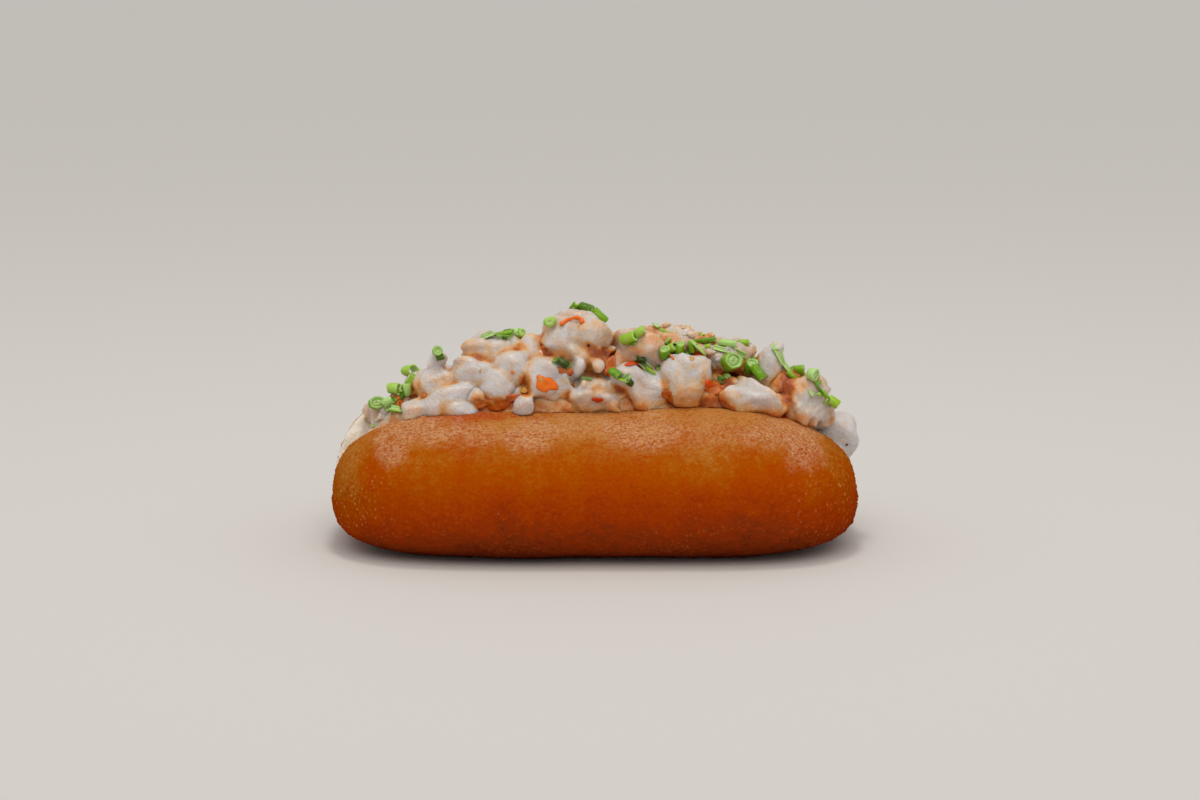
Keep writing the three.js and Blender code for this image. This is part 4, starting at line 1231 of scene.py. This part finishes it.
# One curled shred lies over the front of the topmost piece: an arch with thick ends.
CURL_AT = (-5.1, 49.7)
bow = np.linspace(1.08, -0.02, 21) * np.pi
path_x = CURL_AT[0] + 2.3 * np.cos(bow)
path_height = CURL_AT[1] + 1.3 * np.sin(bow) * (1.0 + 0.4 * np.cos(bow)) + 0.2 * np.cos(bow)
path_y = depth_at(path_x, path_height)
path_y = np.convolve(np.pad(path_y, 4, mode="edge"), np.ones(9) / 9.0, mode="valid") - 0.35
path = np.stack([path_x, path_y, path_height - SHEAR * path_y], -1)
step = np.gradient(path, axis=0)
side = unit(np.cross(step, [0.0, -1.0, 0.0]))
over = unit(np.cross(side, step))
ring = full_turn(10)
thick = (0.4 + 0.14 * np.cos(bow) ** 2 + 0.07 * np.sin(7.0 * bow))[:, None, None]
tube = path[:, None] + thick * (side[:, None] * np.cos(ring)[:, None]
                                + 0.7 * over[:, None] * np.sin(ring)[:, None])
shreds.append((capped(tube), 0.62))


def chilli_material():
    """Shreds of fresh red chilli and orange roe, wet with oil, with paler torn edges, and
    a few nearly black specks; one pale film is a painted highlight."""
    material, tree = new_material("red_chilli_shred")
    place = add(tree, "TexCoord", out="Object")
    tone = add(tree, "Attribute", out="Fac", attribute_name="tone")
    vein = add(tree, "TexNoise", {"Vector": place, "Scale": 1.0 / (0.9 * MM), "Detail": 2.0})
    level = add(tree, "Math", {0: vein, 1: 0.3, 2: tone}, operation="MULTIPLY_ADD")
    colour = add(tree, "ValToRGB", {"Fac": level}, stops=[
        (0.0, "#2C1208"), (0.2, "#B02A08"), (0.6, "#DC4C06"), (0.85, "#E67812"),
        (1.0, "#CE9648"),
    ])
    shader = add(tree, "BsdfPrincipled", {
        "Base Color": colour, "Roughness": 0.3, "Specular IOR Level": 0.3,
        "Subsurface Weight": 0.2, "Subsurface Radius": (1.0, 0.3, 0.1),
        "Subsurface Scale": 0.8 * MM,
    })
    add(tree, "OutputMaterial", {"Surface": shader})
    return material


chilli = add_piece("chilli_shreds", [made for made, _ in shreds], {
    "tone": np.concatenate([np.full(len(made[0]), tone) for made, tone in shreds]),
}, chilli_material())
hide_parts("prawn_filling")

SAUCE_POOLS = [
    # x, height, half length, half height, tilt
    (-20.8, 31.9, 3.8, 1.5, 8), (-25.2, 31.6, 2.0, 1.0, 0), (-44.4, 31.4, 1.2, 1.2, 0),
    (26.0, 35.2, 2.8, 1.9, -10), (16.4, 33.4, 1.3, 1.6, 60), (3.6, 39.6, 1.6, 2.2, 0),
    (-6.4, 38.8, 2.4, 1.0, -20), (-41.6, 34.6, 0.9, 2.0, 0),
]


def seam_grid(stations=170, around=10):
    """Sauce that has run down to the front ridge: a thin uneven thread along its crest."""
    x = np.linspace(-43.0, 46.0, stations)[:, None]
    y = front_ridge(x) + 0.2
    turn = full_turn(around)
    thick = 0.5 + 0.25 * noise(stacked(x, y, y), 3.0, 72)
    return stacked(x, y + 1.6 * thick * np.cos(turn),
                   bread_top(x, y) + 0.4 + thick * np.sin(turn))


def sauce_material():
    """An oily chilli and roe sauce, thick enough to cling: deep orange brown, glossy."""
    material, tree = new_material("oily_chilli_sauce")
    place = add(tree, "TexCoord", out="Object")
    swirl = add(tree, "TexNoise", {"Vector": place, "Scale": 1.0 / (1.6 * MM), "Detail": 4.0})
    colour = add(tree, "ValToRGB", {"Fac": swirl}, stops=[
        (0.3, "#A03E06"), (0.5, "#BC5C12"), (0.7, "#CC8440"),
    ])
    bump = add(tree, "Bump", {"Height": swirl, "Strength": 0.5, "Distance": 0.4 * MM})
    shader = add(tree, "BsdfPrincipled", {
        "Base Color": colour, "Roughness": 0.24, "IOR": 1.42, "Normal": bump,
        "Subsurface Weight": 0.4, "Subsurface Radius": (1.0, 0.35, 0.1),
        "Subsurface Scale": 1.5 * MM,
    })
    add(tree, "OutputMaterial", {"Surface": shader})
    return material


pools = [film_grid(*row, i, 14, 0.05) for i, row in enumerate(SAUCE_POOLS)]
sauce = add_piece("chilli_sauce", pools + [capped(seam_grid())], {}, sauce_material())
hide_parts("prawn_filling")

# ---- floor and light --------------------------------------------------------------------
# A plain pale floor that fills the view, a small lamp overhead, a broad soft light from
# above and the front, and an even pale surround.
FLOOR_HALF = 9.0
LAMP_AT = Vector((0.0, -0.06, 0.7))
LAMP_AIM = Vector((0.0, 0.0, 0.03))

floor_mesh = bpy.data.meshes.new("floor")
floor_corners = FLOOR_HALF * np.array([(-1, -1, 0), (1, -1, 0), (1, 1, 0), (-1, 1, 0)])
floor_mesh.from_pydata(floor_corners.tolist(), [], [(0, 1, 2, 3)])
floor = new_object("floor", floor_mesh)
paper, paper_tree = new_material("matt_white_paper")
paper_shader = add(paper_tree, "BsdfPrincipled",
                   {"Base Color": linear("#D0CECB"), "Roughness": 0.8})
add(paper_tree, "OutputMaterial", {"Surface": paper_shader})
floor_mesh.materials.append(paper)


def add_light(name, kind, colour, strength, **settings):
    """A light of a kind, with its colour, its strength and its size or angle."""
    data = bpy.data.lights.new(name, kind)
    data.color = linear(colour)[:3]
    data.energy = strength
    for key, value in settings.items():
        setattr(data, key, value)
    return new_object(name, data)


lamp = add_light("lamp", "AREA", "#FFFBF6", 1.1, size=0.14)
lamp.location = LAMP_AT
lamp.rotation_euler = (LAMP_AIM - LAMP_AT).to_track_quat("-Z", "Y").to_euler()
ceiling = add_light("ceiling", "SUN", "#FFFAF2", 1.2, angle=0.9)
ceiling.rotation_euler = (0.64, 0.02, 0.0)

world = bpy.data.worlds.new("surround")
world.use_nodes = True
surround = world.node_tree.nodes["Background"]
surround.inputs["Color"].default_value = linear("#F2EFEC")
surround.inputs["Strength"].default_value = 0.6
bpy.context.scene.world = world
bpy.context.scene.view_settings.view_transform = "Standard"
